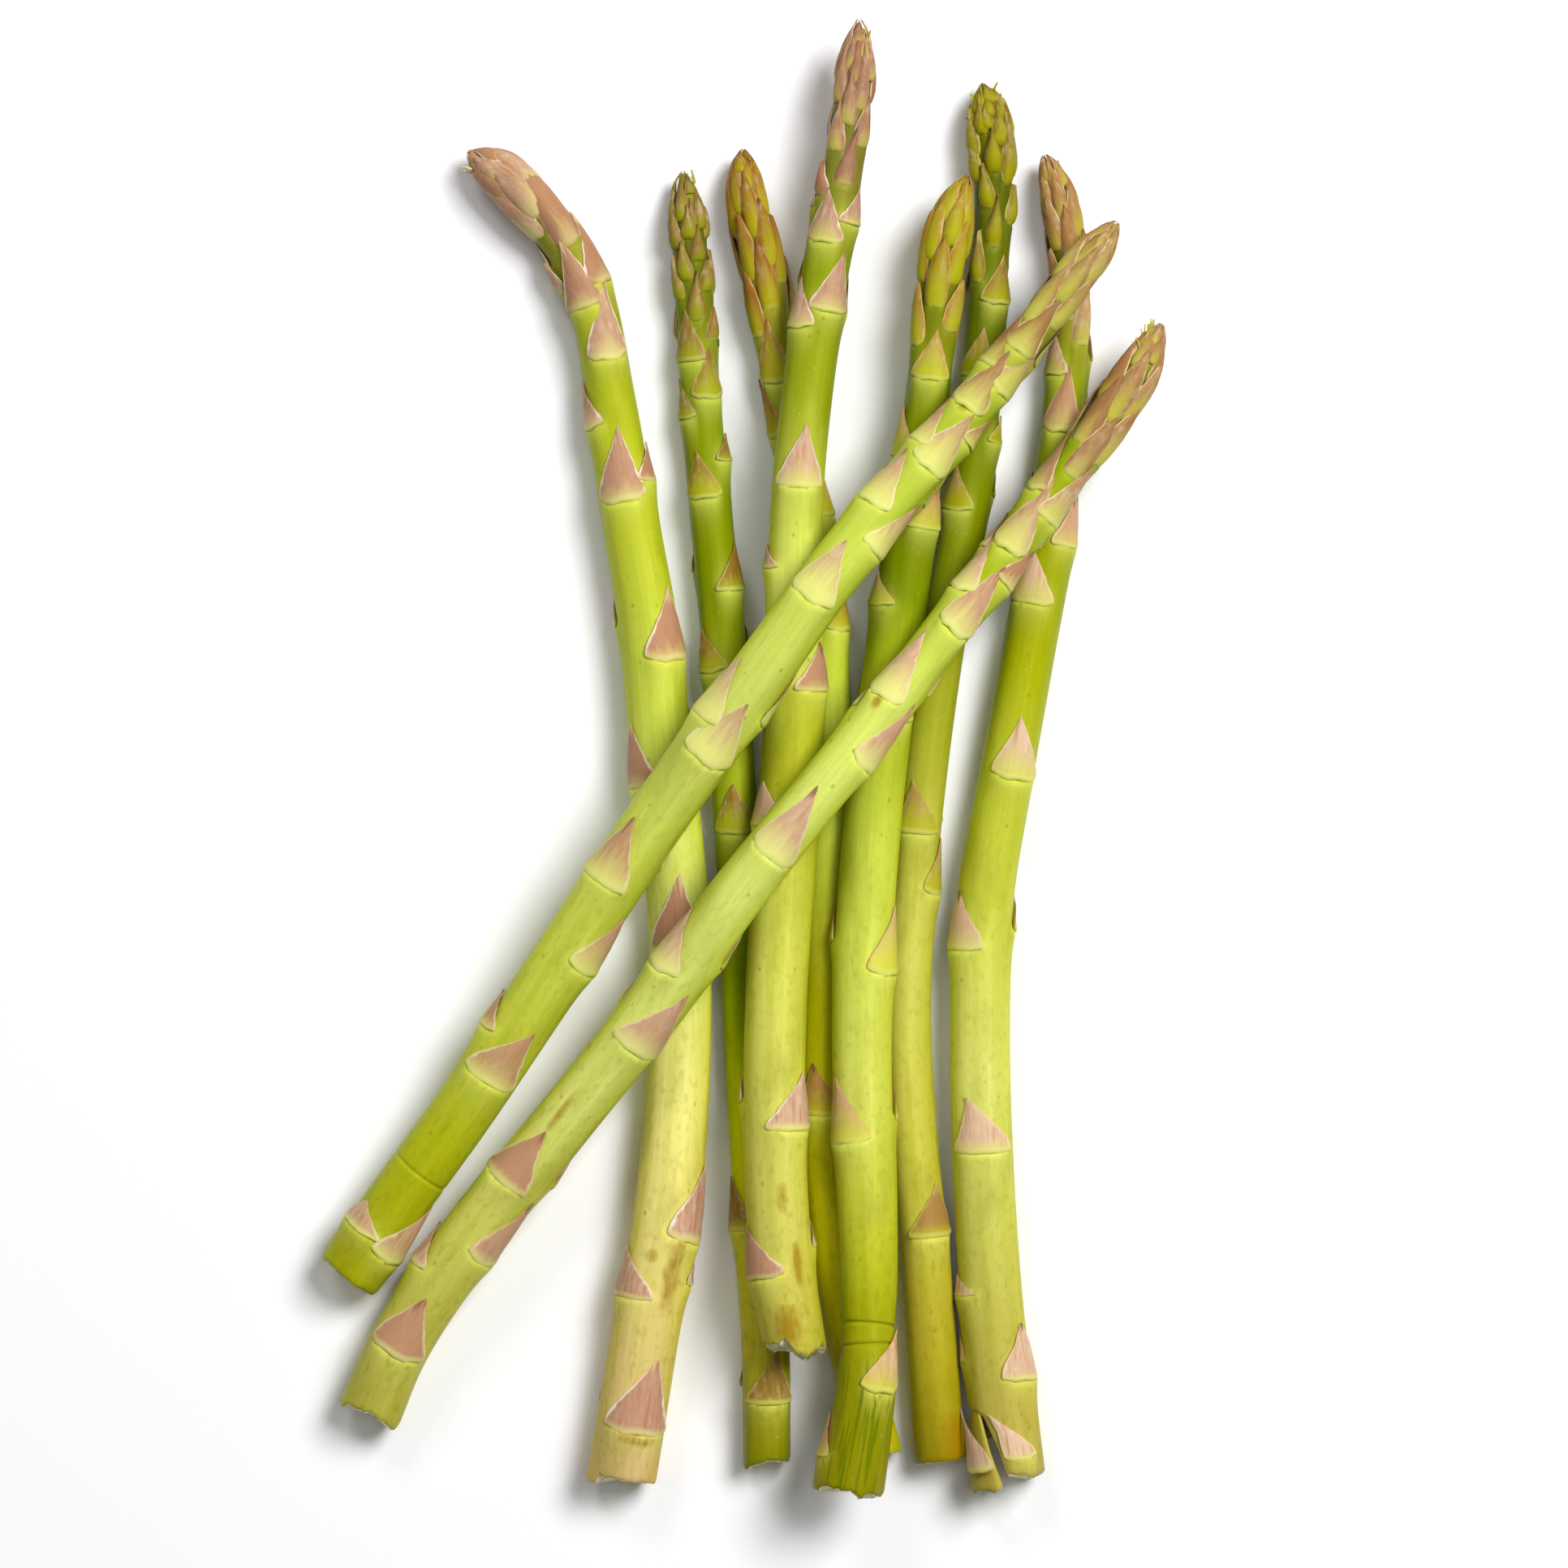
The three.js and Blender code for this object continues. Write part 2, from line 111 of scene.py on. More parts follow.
def smooth_route(points):
    """Close points of a centripetal Catmull-Rom curve through [x, y, z, radius]."""
    p = np.array(points, float)
    p = np.vstack([2 * p[0] - p[1], p, 2 * p[-1] - p[-2]])
    t = np.linspace(0, 1, ROUTE_STEPS, endpoint=False)[:, None]
    stretches = []
    for before, start, end, after in zip(p, p[1:], p[2:], p[3:]):
        first, second, third = (
            math.sqrt(np.linalg.norm((b - a)[:3]))
            for a, b in ((before, start), (start, end), (end, after))
        )
        leave = (start - before) / first - (end - before) / (first + second) + (end - start) / second
        arrive = (end - start) / second - (after - start) / (second + third) + (after - end) / third
        stretches.append(
            (2 * t**3 - 3 * t**2 + 1) * start
            + (t**3 - 2 * t**2 + t) * second * leave
            + (3 * t**2 - 2 * t**3) * end
            + (t**3 - t**2) * second * arrive
        )
    return np.vstack(stretches + [p[-2:-1]])


def route_object(name, line):
    """The route as a curve whose radius is the stem's."""
    data = bpy.data.curves.new(name, "CURVE")
    data.dimensions = "3D"
    spline = data.splines.new("POLY")
    spline.points.add(len(line) - 1)
    places = np.c_[line[:, :3] * MM, np.ones(len(line))]
    spline.points.foreach_set("co", places.ravel())
    spline.points.foreach_set("radius", line[:, 3] * MM)
    return shown(name, data)


def shown(name, data):
    """A new object in the scene."""
    made = bpy.data.objects.new(name, data)
    bpy.context.scene.collection.objects.link(made)
    return made


def note(data, name, kind, domain, values):
    """Writes a value on each point, edge or face of a mesh."""
    key = "vector" if kind == "FLOAT_VECTOR" else "value"
    data.attributes.new(name, kind, domain).data.foreach_set(key, values)


def mesh_object(name, points, faces, part=None, **per_point):
    """A mesh with the part that each face belongs to, and more values on its points."""
    data = bpy.data.meshes.new(name)
    data.from_pydata(np.asarray(points).tolist(), [], faces, shade_flat=False)
    for key, values in per_point.items():
        values = np.asarray(values, np.float32)
        note(data, key, "FLOAT" if values.ndim == 1 else "FLOAT_VECTOR", "POINT", values.ravel())
    if part:
        note(data, "part", "INT", "FACE", part)
    return shown(name, data)


def sharpen(data, ring):
    """Marks as sharp the edges that join two of these points."""
    ring = set(ring)
    sharp = [all(v in ring for v in edge.vertices) for edge in data.edges]
    note(data, "sharp_edge", "BOOLEAN", "EDGE", sharp)


def apart(angle, other):
    """The turn between two angles, from -pi to pi."""
    return (angle - other + math.pi) % (2 * math.pi) - math.pi


def ripples(along, angle, seed, height):
    """Low ribs and hollows that run along a stem and drift slowly round it."""
    rng = np.random.default_rng(seed)
    total = np.zeros_like(along)
    for ribs in RIB_COUNTS:
        wander = rng.uniform(-0.9, 0.9) * np.sin(along / rng.uniform(25, 45) + rng.uniform(0, 6))
        swell = 0.65 + 0.35 * np.sin(along / rng.uniform(14, 30) + rng.uniform(0, 6))
        total += swell * np.cos(ribs * angle + rng.uniform(0, 6) + wander) / ribs**0.8
    waves = np.sin(along / 9.0 + rng.uniform(0, 6)) + np.sin(along / 17.0 + rng.uniform(0, 6))
    return height * (total + 0.5 * waves)


def shoulders_at(scales, along, angle):
    """How far the stem stands out under the foot of each scale, and how near a foot a place is."""
    shoulders = np.zeros_like(along)
    swell = np.zeros_like(along)
    for foot, turn, size, _, spread, in_head, _ in scales:
        d = apart(angle, math.radians(turn)) / math.radians(spread)
        below = foot + 0.08 * size * np.minimum(d**2, 1.3) - along
        reach = HEAD_SHOULDER_REACH if in_head else SHOULDER_REACH
        near = 0.6 * np.exp(-((np.abs(below) / 2.8) ** 1.3))
        far = 0.4 * np.exp(-((np.abs(below) / reach) ** 1.2))
        fade = np.where(below > 0, near + far, np.clip(1 + below / 1.1, 0, 1) ** 2)
        bump = fade * np.exp(-((np.abs(d) / 1.02) ** 4))
        tall = SHOULDER_HEIGHT * (0.55 if in_head else 1.0)
        shoulders = np.maximum(shoulders, tall * bump)
        near_foot = np.exp(-((np.abs(below) / 2.6) ** 1.5)) * np.exp(-(np.abs(d) ** 6))
        near_foot = near_foot * (0.15 if in_head else 1.0)
        swell = np.maximum(swell, near_foot)
    return shoulders, swell


def face_after(row, j, sides):
    """The corners of a face between a row of points and the next."""
    k = (j + 1) % sides
    return (row * sides + j, row * sides + k, (row + 1) * sides + k, (row + 1) * sides + j)


def stem_sheet(name, length, radius_at, scales, seed, butt, marks, creases, ribbing, split):
    """The stem laid out straight, with a shoulder under each scale and closed cut ends."""
    rng = np.random.default_rng(seed)
    end = length - CORE_SHORT
    rows = [0, 0.2, 0.5, 0.9, *np.arange(1.4, end - 0.4, SHEET_STEP), end]
    for place, width, _ in creases:
        rows += [*np.arange(place - 3 * width, place + 3 * width, width / 2.5)]
    if split:
        rows += [*np.arange(1.5, 14, SPLIT_STEP)]
    rows = np.unique(np.round(rows, 2))
    angles = np.arange(SHEET_SIDES) * 2 * math.pi / SHEET_SIDES
    along, angle = np.meshgrid(rows, angles, indexing="ij")
    share = along / length
    height = ripples(along, angle, seed, ribbing) * (1 - 0.8 * share**6)
    height -= CORE_SLIMMING * np.clip((along - end + HEAD_REACH) / HEAD_REACH, 0, 1)

    shoulders, swell = shoulders_at(scales, along, angle)
    height = height + shoulders
    for place, width, depth in creases:
        tilt = 0.25 * np.sin(angle + place)
        height -= depth * np.exp(-(((along - place - tilt) / width) ** 2))

    across, slant, ragged = butt
    rough = sum(np.sin(k * angles + rng.uniform(0, 6)) / k**0.4 for k in TORN_WAVES)
    cut = np.interp(np.sin(angles), *zip(*across)) + slant * np.cos(angles) + ragged * rough * 0.25
    along = along + cut * np.exp(-along / TORN_REACH)
    rounding = 0.35 * np.exp(-rows / 0.25)
    height -= rounding[:, None]
    opened = np.zeros(along.shape, bool)
    if split:
        sideways = np.minimum(np.sin(angle), -0.05)
        to_cut = -np.interp(along, split["places"], split["main"]) / -sideways
        to_cut = to_cut - np.interp(along, split["places"], [radius_at(s) for s in split["places"]])
        opened = (np.sin(angle) < -0.05) & (to_cut < height)
        height = np.where(opened, np.maximum(to_cut, -radius_at(0) + 0.2), height)

    stains = np.zeros(along.shape + (3,))
    for kind, place, turn, long, wide in marks:
        d = apart(angle, math.radians(turn)) * radius_at(place) / wide
        fall = np.exp(-(np.abs((along - place) / long) ** 3) - np.abs(d) ** 2.5)
        stains[..., kind] = np.maximum(stains[..., kind], fall)

    count = len(rows)
    points = np.stack([along, angle, height], -1).reshape(-1, 3)
    stains = stains.reshape(-1, 3)
    faces = [face_after(i, j, SHEET_SIDES) for i in range(count - 1) for j in range(SHEET_SIDES)]
    torn = opened & np.roll(opened, -1, axis=1)
    part = np.where(torn[:-1], CUT, SKIN).ravel().tolist()

    # The cut face of the butt, in rings to its middle, and the closed tip.
    last = list(range(SHEET_SIDES))
    width = radius_at(0)
    for inward in CUT_RINGS:
        dip = 0.25 * (1 - inward) + ragged * 0.3 * rng.uniform(-1, 1, SHEET_SIDES) * inward
        ring = np.stack([cut * inward + dip, angles, height[0] * inward - width * (1 - inward)], -1)
        new = list(range(len(points), len(points) + SHEET_SIDES))
        points = np.vstack([points, ring])
        faces += zip(last, new, new[1:] + new[:1], last[1:] + last[:1])
        part += [CUT] * SHEET_SIDES
        last = new
    middle = len(points)
    points = np.vstack([points, [[0.3, 0, -width]]])
    tip = len(points)
    points = np.vstack([points, [[end + 0.3, 0, -radius_at(length) - CORE_SLIMMING]]])
    top = (count - 1) * SHEET_SIDES
    for j in range(SHEET_SIDES):
        k = (j + 1) % SHEET_SIDES
        faces += [(last[j], middle, last[k]), (top + j, top + k, tip)]
        part += [CUT, SKIN]
    if split:
        places, loops, kinds = sliver_sheet(radius_at, split, rng)
        faces += [tuple(corner + len(points) for corner in loop) for loop in loops]
        part += kinds
        points = np.vstack([points, places])
    stains = np.vstack([stains, np.zeros((len(points) - len(stains), 3))])
    swell = np.r_[swell.ravel(), np.zeros(len(points) - swell.size)]
    points = points * (MM, 1, MM)
    sheet = mesh_object(name, points, faces, part, marks=stains, swell=swell)
    sharpen(sheet.data, range(SHEET_SIDES))
    return sheet


def sliver_sheet(radius_at, split, rng):
    """The strip that a lengthways split leaves standing off at the left of the butt."""
    sides = SLIVER_SIDES
    rows = np.arange(split["places"][0], split["places"][-1], SLIVER_STEP)
    points = []
    for s in rows:
        base = radius_at(max(s, 0))
        reach = base + np.interp(s, split["places"], split["stand"])
        edge = -np.interp(s, split["places"], split["sliver"])
        first = math.asin(min(edge / reach, 0.96))
        turns = np.linspace(math.pi - first, first, sides // 2 + 1)
        fray = rng.uniform(-0.6, 0.6, sides) * math.exp(-(s - rows[0]) / 0.5)
        ring = [(s, -t, reach - base) for t in turns]
        ring += [(s, -t, edge / math.sin(t) - base) for t in turns[-2:0:-1]]
        points += [(s + f, t, h) for f, (s, t, h) in zip(fray, ring)]
    faces = []
    kinds = []
    for i in range(len(rows) - 1):
        faces += [face_after(i, j, sides) for j in range(sides)]
        kinds += [SKIN if j < sides // 2 else CUT for j in range(sides)]
    for row, order in ((0, -1), (len(rows) - 1, 1)):
        points.append(tuple(np.mean(points[row * sides : (row + 1) * sides], axis=0)))
        middle = len(points) - 1
        for j in range(sides):
            loop = (row * sides + j, row * sides + (j + 1) % sides, middle)
            faces.append(loop[::order])
            kinds.append(CUT)
    return points, faces, kinds


def blade_shape(name, outline, foot_arch, rise, edge_drop, skew, seed):
    """A scale one long, one wide and one high. outline and rise are (share, value) pairs.

    edge_drop is how far its edges fall below its middle, at the foot and at the tip.
    """
    rng = np.random.default_rng(seed)
    across = np.array([-1, -0.9, -0.66, -0.35, 0, 0.35, 0.66, 0.9, 1])
    along = np.r_[0, 0.04, 0.1, np.linspace(0.19, 0.88, 8), 0.95, 1]
    u, v = np.meshgrid(across, along, indexing="xy")
    width = np.interp(v, *zip(*outline))
    for side in (-1, 1):
        notches = sum(rng.uniform(0.2, 1) * np.sin(k * v + rng.uniform(0, 6)) for k in (7, 13, 23))
        width = width + 0.03 * notches * (u * side > 0) * np.sin(math.pi * v)
    x = v + foot_arch * u**2 * (1 - v)
    x = x + (0.014 * np.sin(6 * u + seed) + 0.01 * np.sin(13 * u + 2 * seed)) * (1 - v) ** 4
    y = u * width + skew * v * (1 - v) + 0.5 * skew * v**2
    crown = 1 - np.interp(v, (0.15, 0.65), edge_drop) * np.abs(u) ** 2.4
    z = np.interp(v, *zip(*rise)) * crown + 0.05 * (np.abs(u) > 0.95) * np.sin(math.pi * v)
    z += 0.04 * np.sin(7 * u + 3 * v + seed) * v * (1 - v)

    # The outer face, row by row to one point at the tip, then a keel along the inner face.
    rows, columns = u.shape
    middle = columns // 2
    high = z[1:-1, middle]
    keel = np.c_[x[1:-1, middle], y[1:-1, middle], np.minimum(np.maximum(high - 0.5, 0.05), 0.6 * high)]
    outer = np.stack([x, y, z], -1)[:-1].reshape(-1, 3)
    points = np.vstack([outer, [[1, 0.5 * skew, z[-1, 0]]], keel])
    outer = np.stack([u, v, 0 * u], -1)[:-1].reshape(-1, 3)
    blade = np.vstack([outer, [[0, 1, 0]], np.c_[0 * high, v[1:-1, middle], 0 * high + 1]])

    # Point numbers: the tip, the keel's first and last, and the outer face's last row.
    tip = (rows - 1) * columns
    first, final = tip + 1, tip + rows - 2
    last = tip - columns
    edge = columns - 1
    faces = [face_after(i, j, columns) for i in range(rows - 2) for j in range(edge)]
    faces += [(last + j, last + j + 1, tip) for j in range(edge)]
    faces += [(j + 1, j, first) for j in range(edge)]
    faces += [(first, 0, columns), (edge, first, columns + edge)]
    for i in range(1, rows - 2):
        left, right, here = i * columns, i * columns + edge, first + i - 1
        faces.append((here, left, left + columns, here + 1))
        faces.append((right, here, here + 1, right + columns))
    faces += [(final, last, tip), (last + edge, final, tip)]
    made = mesh_object(name, points, faces, [SCALE] * len(faces), blade=blade)
    sharpen(made.data, [tip, *range(columns), *range(0, tip, columns), *range(edge, tip, columns)])
    return made


STEM_OUTLINE = [
    (0, 0.95), (0.05, 1.0), (0.14, 0.96), (0.32, 0.78), (0.52, 0.53), (0.7, 0.32), (0.85, 0.16),
    (0.95, 0.07), (1, 0.0),
]
ONION_OUTLINE = [
    (0, 0.84), (0.05, 0.97), (0.14, 1.0), (0.3, 0.9), (0.45, 0.69), (0.6, 0.46), (0.76, 0.26),
    (0.9, 0.11), (1, 0.0),
]
LEAF_OUTLINE = [
    (0, 0.82), (0.06, 0.94), (0.2, 1.0), (0.45, 0.87), (0.68, 0.6), (0.86, 0.28), (0.95, 0.11), (1, 0.0),
]
BUD_OUTLINE = [
    (0, 0.66), (0.08, 0.88), (0.22, 1.0), (0.4, 0.9), (0.58, 0.6), (0.74, 0.32), (0.88, 0.13), (1, 0.0),
]
STEM_RISE = [(0, 0.8), (0.03, 0.96), (0.08, 1.0), (0.18, 0.82), (0.4, 0.68), (0.7, 0.46), (1, 0.32)]
ONION_RISE = [(0, 0.2), (0.05, 0.6), (0.2, 0.92), (0.4, 1.0), (0.7, 0.98), (1, 0.9)]
LEAF_RISE = [(0, 0.2), (0.05, 0.55), (0.2, 0.8), (0.5, 0.98), (0.8, 1.06), (1, 1.0)]
BUD_RISE = [(0, 0.1), (0.08, 0.7), (0.28, 1.1), (0.5, 1.12), (0.75, 1.0), (1, 0.9)]

# The blades that the scales of a stem, and of each kind of head, are drawn from.
STEM_SCALES = (0, 1, 2)
ONION = (3, 4)
LEAF = (5, 6)
BUD = (7, 7)
blades = bpy.data.collections.new("blades")
for number, look in enumerate((
    (STEM_OUTLINE, 0.06, STEM_RISE, (0.4, 0.4), 0.0),
    (STEM_OUTLINE, 0.03, STEM_RISE, (0.35, 0.35), 0.24),
    (STEM_OUTLINE, 0.09, STEM_RISE, (0.4, 0.3), -0.22),
    (ONION_OUTLINE, -0.03, ONION_RISE, (1.1, 0.75), 0.1),
    (ONION_OUTLINE, 0.0, ONION_RISE, (1.05, 0.7), -0.12),
    (LEAF_OUTLINE, -0.02, LEAF_RISE, (1.0, 0.45), 0.1),
    (LEAF_OUTLINE, 0.02, LEAF_RISE, (0.95, 0.4), -0.12),
    (BUD_OUTLINE, 0.0, BUD_RISE, (1.1, 0.85), 0.0),
)):
    shape = blade_shape(f"blade_{number}", *look, seed=number + 1)
    bpy.context.scene.collection.objects.unlink(shape)
    blades.objects.link(shape)


class Wire:
    """The output of a node. Sums of wires and numbers are written like plain sums."""

    def __init__(self, socket):
        self.socket = socket

    def math(self, operation, *values):
        inputs = dict(enumerate((self, *values)))
        return out(add(self.socket.id_data, "ShaderNodeMath", inputs, operation=operation))

    def __add__(self, value):
        return self.math("ADD", value)

    def __sub__(self, value):
        return self.math("SUBTRACT", value)

    def __mul__(self, value):
        return self.math("MULTIPLY", value)

    def __truediv__(self, value):
        return self.math("DIVIDE", value)

    def __pow__(self, value):
        return self.math("POWER", value)

    def ramp(self, low, high):
        """This value cut to 0 at low and 1 at high."""
        inputs = {"Value": self, "From Min": low, "From Max": high}
        return out(add(self.socket.id_data, "ShaderNodeMapRange", inputs))


def plug(value, socket):
    """Gives an input a wire or a plain value."""
    if isinstance(value, Wire):
        socket.id_data.links.new(value.socket, socket)
    else:
        socket.default_value = value


def add(tree, kind, inputs=None, **settings):
    """A node with its settings, and its inputs by number or by name."""
    node = tree.nodes.new(kind)
    for key, value in settings.items():
        setattr(node, key, value)
    for key, value in (inputs or {}).items():
        if isinstance(key, int):
            plug(value, node.inputs[key])
        else:
            plug(value, next(s for s in node.inputs if s.name == key and s.enabled))
    return node


def wires(node):
    """The live outputs of a node by name."""
    return {socket.name: Wire(socket) for socket in node.outputs if socket.enabled}


def out(node):
    """The first live output of a node."""
    return next(Wire(socket) for socket in node.outputs if socket.enabled)


def vectors(operation, *values, **named):
    """A sum of vectors, of which the first is a wire."""
    inputs = {**dict(enumerate(values)), **named}
    return out(add(values[0].socket.id_data, "ShaderNodeVectorMath", inputs, operation=operation))


def parts_of(vector):
    """The three numbers of a vector."""
    return [Wire(s) for s in add(vector.socket.id_data, "ShaderNodeSeparateXYZ", {0: vector}).outputs]


def vector_of(x, y, z):
    """A vector of three numbers."""
    return out(add(x.socket.id_data, "ShaderNodeCombineXYZ", {0: x, 1: y, 2: z}))


def growing_tree():
    """The node tree that sets the scales on a stem and wraps both round a route."""
    tree = bpy.data.node_groups.new("grow spear", "GeometryNodeTree")
    for kind, names in (
        ("Geometry", ["Stem"]),
        ("Object", ["Route", "Scale places"]),
        ("Collection", ["Blades"]),
        ("Material", ["Skin", "Scale", "Cut end"]),
        ("Float", ["Length", "Surface level"]),
    ):
        for name in names:
            tree.interface.new_socket(name=name, in_out="INPUT", socket_type="NodeSocket" + kind)
    tree.interface.new_socket(name="Spear", in_out="OUTPUT", socket_type="NodeSocketGeometry")
    given = wires(add(tree, "NodeGroupInput"))

    def grown(kind, inputs=None, **settings):
        return out(add(tree, "GeometryNode" + kind, inputs, **settings))

    def named(name, kind):
        return grown("InputNamedAttribute", {"Name": name}, data_type=kind)

    def geometry_of(name):
        return wires(add(tree, "GeometryNodeObjectInfo", {"Object": given[name]}))["Geometry"]

    # Each place gets its scale, and the scales join the stem's sheet.
    choice = {"Collection": given["Blades"], "Separate Children": True, "Reset Children": True}
    scales = {
        "Points": geometry_of("Scale places"),
        "Instance": grown("CollectionInfo", choice),
        "Pick Instance": True,
        "Instance Index": named("kind", "INT"),
        "Scale": named("size", "FLOAT_VECTOR"),
    }
    loose = grown("RealizeInstances", {"Geometry": grown("InstanceOnPoints", scales)})
    both = tree.nodes.new("GeometryNodeJoinGeometry")
    plug(loose, both.inputs[0])
    plug(given["Stem"], both.inputs[0])

    # A point's distance along, angle and height become a place beside the route.
    along, angle, height = parts_of(grown("InputPosition"))
    up_blade = parts_of(named("blade", "FLOAT_VECTOR"))[1]
    angle = angle + named("lean", "FLOAT") * up_blade**1.5
    height = height + named("lift", "FLOAT") * up_blade**3.0
    within = along.math("MAXIMUM", 0.0).math("MINIMUM", given["Length"])
    line = {"Curves": geometry_of("Route"), "Value": grown("InputRadius"), "Length": within}
    station = wires(add(tree, "GeometryNodeSampleCurve", line, mode="LENGTH", data_type="FLOAT"))
    forward = station["Tangent"]
    side = vectors("NORMALIZE", vectors("CROSS_PRODUCT", forward, (0, 0, 1)))
    top = vectors("CROSS_PRODUCT", side, forward)
    reach = (station["Value"] + height).math("MAXIMUM", 0.0)
    aside = reach * angle.math("SINE")
    above = reach * angle.math("COSINE")
    spot = station["Position"]
    for way, far in ((side, aside), (top, above), (forward, along - within)):
        spot = vectors("ADD", spot, vectors("SCALE", way, Scale=far))
    x, y, z = parts_of(spot)
    spot = vector_of(x, y, z.math("MAXIMUM", given["Surface level"]))

    # The straight coordinates in mm stay on the points, for the materials.
    straight = vectors("SCALE", vector_of(above, aside, along), Scale=1 / MM)
    share = within / given["Length"]
    done = out(both)
    for name, kind, value in (("grown", "FLOAT_VECTOR", straight), ("share", "FLOAT", share)):
        kept = {"Geometry": done, "Name": name, "Value": value}
        done = grown("StoreNamedAttribute", kept, data_type=kind, domain="POINT")
    done = grown("SetPosition", {"Geometry": done, "Position": spot})
    done = grown("RealizeInstances", {"Geometry": done})
    for number, name in ((SKIN, "Skin"), (SCALE, "Scale"), (CUT, "Cut end")):
        test = {"A": named("part", "INT"), "B": number}
        chosen = out(add(tree, "FunctionNodeCompare", test, data_type="INT", operation="EQUAL"))
        done = grown("SetMaterial", {"Geometry": done, "Selection": chosen, "Material": given[name]})
    plug(done, add(tree, "NodeGroupOutput").inputs[0])
    return tree


grow_tree = growing_tree()


def attribute(tree, name, kind="Fac"):
    """An attribute of the mesh, as a value or as a vector."""
    return wires(add(tree, "ShaderNodeAttribute", attribute_name=name))[kind]


def fibres_group():
    """Streaks, bands, patches and specks of a stem, on its straightened coordinates in mm, and a mask of
    its flanks for painted shade.
    """
    tree = bpy.data.node_groups.new("stem fibres and flank shade", "ShaderNodeTree")
    grown = attribute(tree, "grown", "Vector")

    def stretched(squeeze, shift=0.0):
        place = {"Vector": grown, "Scale": (1, 1, squeeze), "Location": (shift, 0, 0)}
        return out(add(tree, "ShaderNodeMapping", place))

    def noise(squeeze, scale, detail, shift=0.0):
        place = {"Vector": stretched(squeeze, shift), "Scale": scale, "Detail": detail}
        return out(add(tree, "ShaderNodeTexNoise", place))

    def dots(squeeze, scale, near, channel, kept):
        """Small spots with soft edges, at some of the cells of a Voronoi pattern."""
        place = {"Vector": stretched(squeeze), "Scale": scale}
        cells = wires(add(tree, "ShaderNodeTexVoronoi", place))
        lot = wires(add(tree, "ShaderNodeSeparateColor", {0: cells["Color"]}))[channel]
        return cells["Distance"].ramp(*near) * lot.ramp(*kept)

    grain = {
        "Streaks": noise(0.03, 1.7, 3.0),
        "Bands": noise(0.02, 0.42, 2.0, 7.0),
        "Patches": noise(0.35, 0.16, 4.0, 3.0),
        "Mottle": noise(0.6, 0.9, 5.0, 5.0),
        "Specks": dots(0.7, 0.42, (0.16, 0.05), "Red", (0.62, 0.72)),
        "Flecks": dots(0.45, 1.1, (0.14, 0.05), "Green", (0.7, 0.8)),
    }
    grain["Relief"] = grain["Streaks"] * 0.65 + noise(0.05, 5.0, 2.0, 11.0) * 0.35
    outward = vectors("NORMALIZE", vectors("MULTIPLY", grown, (1, 1, 0)))
    # Flank shade masks the sides and underside of the stem, for painted shade.
    grain["Flank"] = parts_of(outward)[0].ramp(0.9, 0.15)
    for name in grain:
        tree.interface.new_socket(name=name, in_out="OUTPUT", socket_type="NodeSocketFloat")
    end = add(tree, "NodeGroupOutput")
    for name, value in grain.items():
        plug(value, end.inputs[name])
    return tree


fibres = fibres_group()


def linear(red, green, blue):
    """A colour given as 0 to 255 the way a screen shows it."""
    shown_as = (red, green, blue)
    return (*(((c / 255 + 0.055) / 1.055) ** 2.4 if c > 10 else c / 3294 for c in shown_as), 1.0)


def blend(share, first, second, mode="MIX"):
    """A colour between two, by a share from 0 to 1."""
    tree = next(v.socket.id_data for v in (share, first, second) if isinstance(v, Wire))
    inputs = {0: share, 6: first, 7: second}
    return Wire(add(tree, "ShaderNodeMix", inputs, data_type="RGBA", blend_type=mode).outputs[2])


def tinted(colour, tint):
    """A colour times a tint."""
    return blend(1.0, colour, tint, "MULTIPLY")


def new_material(name):
    """A new material, its node tree and the patterns of the grown fibres in it, with the mask for painted
    flank shade.
    """
    made = bpy.data.materials.new(name)
    made.use_nodes = True
    return made, made.node_tree, wires(add(made.node_tree, "ShaderNodeGroup", node_tree=fibres))


def shade(made, settings):
    """Sets inputs of a material's Principled shader."""
    shader = made.node_tree.nodes["Principled BSDF"]
    for name, value in settings.items():
        plug(value, shader.inputs[name])


def relief(tree, height, depth, strength):
    """The normals of a fine relief."""
    return out(add(tree, "ShaderNodeBump", {"Strength": strength, "Distance": depth, "Height": height}))


def stem_colour(tree, tones, grain):
    """The colour of the stem from butt to head, with its streaks and bands, and painted shade on its
    flanks.
    """
    ramp = tree.nodes.new("ShaderNodeValToRGB")
    plug(attribute(tree, "share") + (grain["Patches"] - 0.5) * 0.12, ramp.inputs[0])
    stops = ramp.color_ramp.elements
    while len(stops) < len(tones):
        stops.new(0.5)
    for stop, (place, colour) in zip(stops, tones):
        stop.position = place
        stop.color = linear(*colour)
    colour = Wire(ramp.outputs[0])
    lighter = tinted(colour, (1.09, 1.08, 1.16, 1.0))
    darker = tinted(colour, (0.9, 0.92, 0.74, 1.0))
    colour = blend(grain["Streaks"].ramp(0.5, 0.8), colour, lighter)
    colour = blend(grain["Streaks"].ramp(0.5, 0.2), colour, darker)
    colour = blend(grain["Bands"].ramp(0.5, 0.25), colour, darker)
    # Painted shade: the flanks are darkened and lose most of their blue, as where the light grazes them.
    return blend(grain["Flank"], colour, tinted(colour, (0.9, 0.92, 0.12, 1.0)))


OLIVE = linear(128, 122, 4)
WAX_FLECK = linear(236, 236, 170)
SHOULDER_GREEN = linear(226, 230, 104)
BROWN, GREEN, DRY = 0, 1, 2
STAINS = (linear(156, 116, 6), linear(96, 112, 0), linear(206, 152, 70))


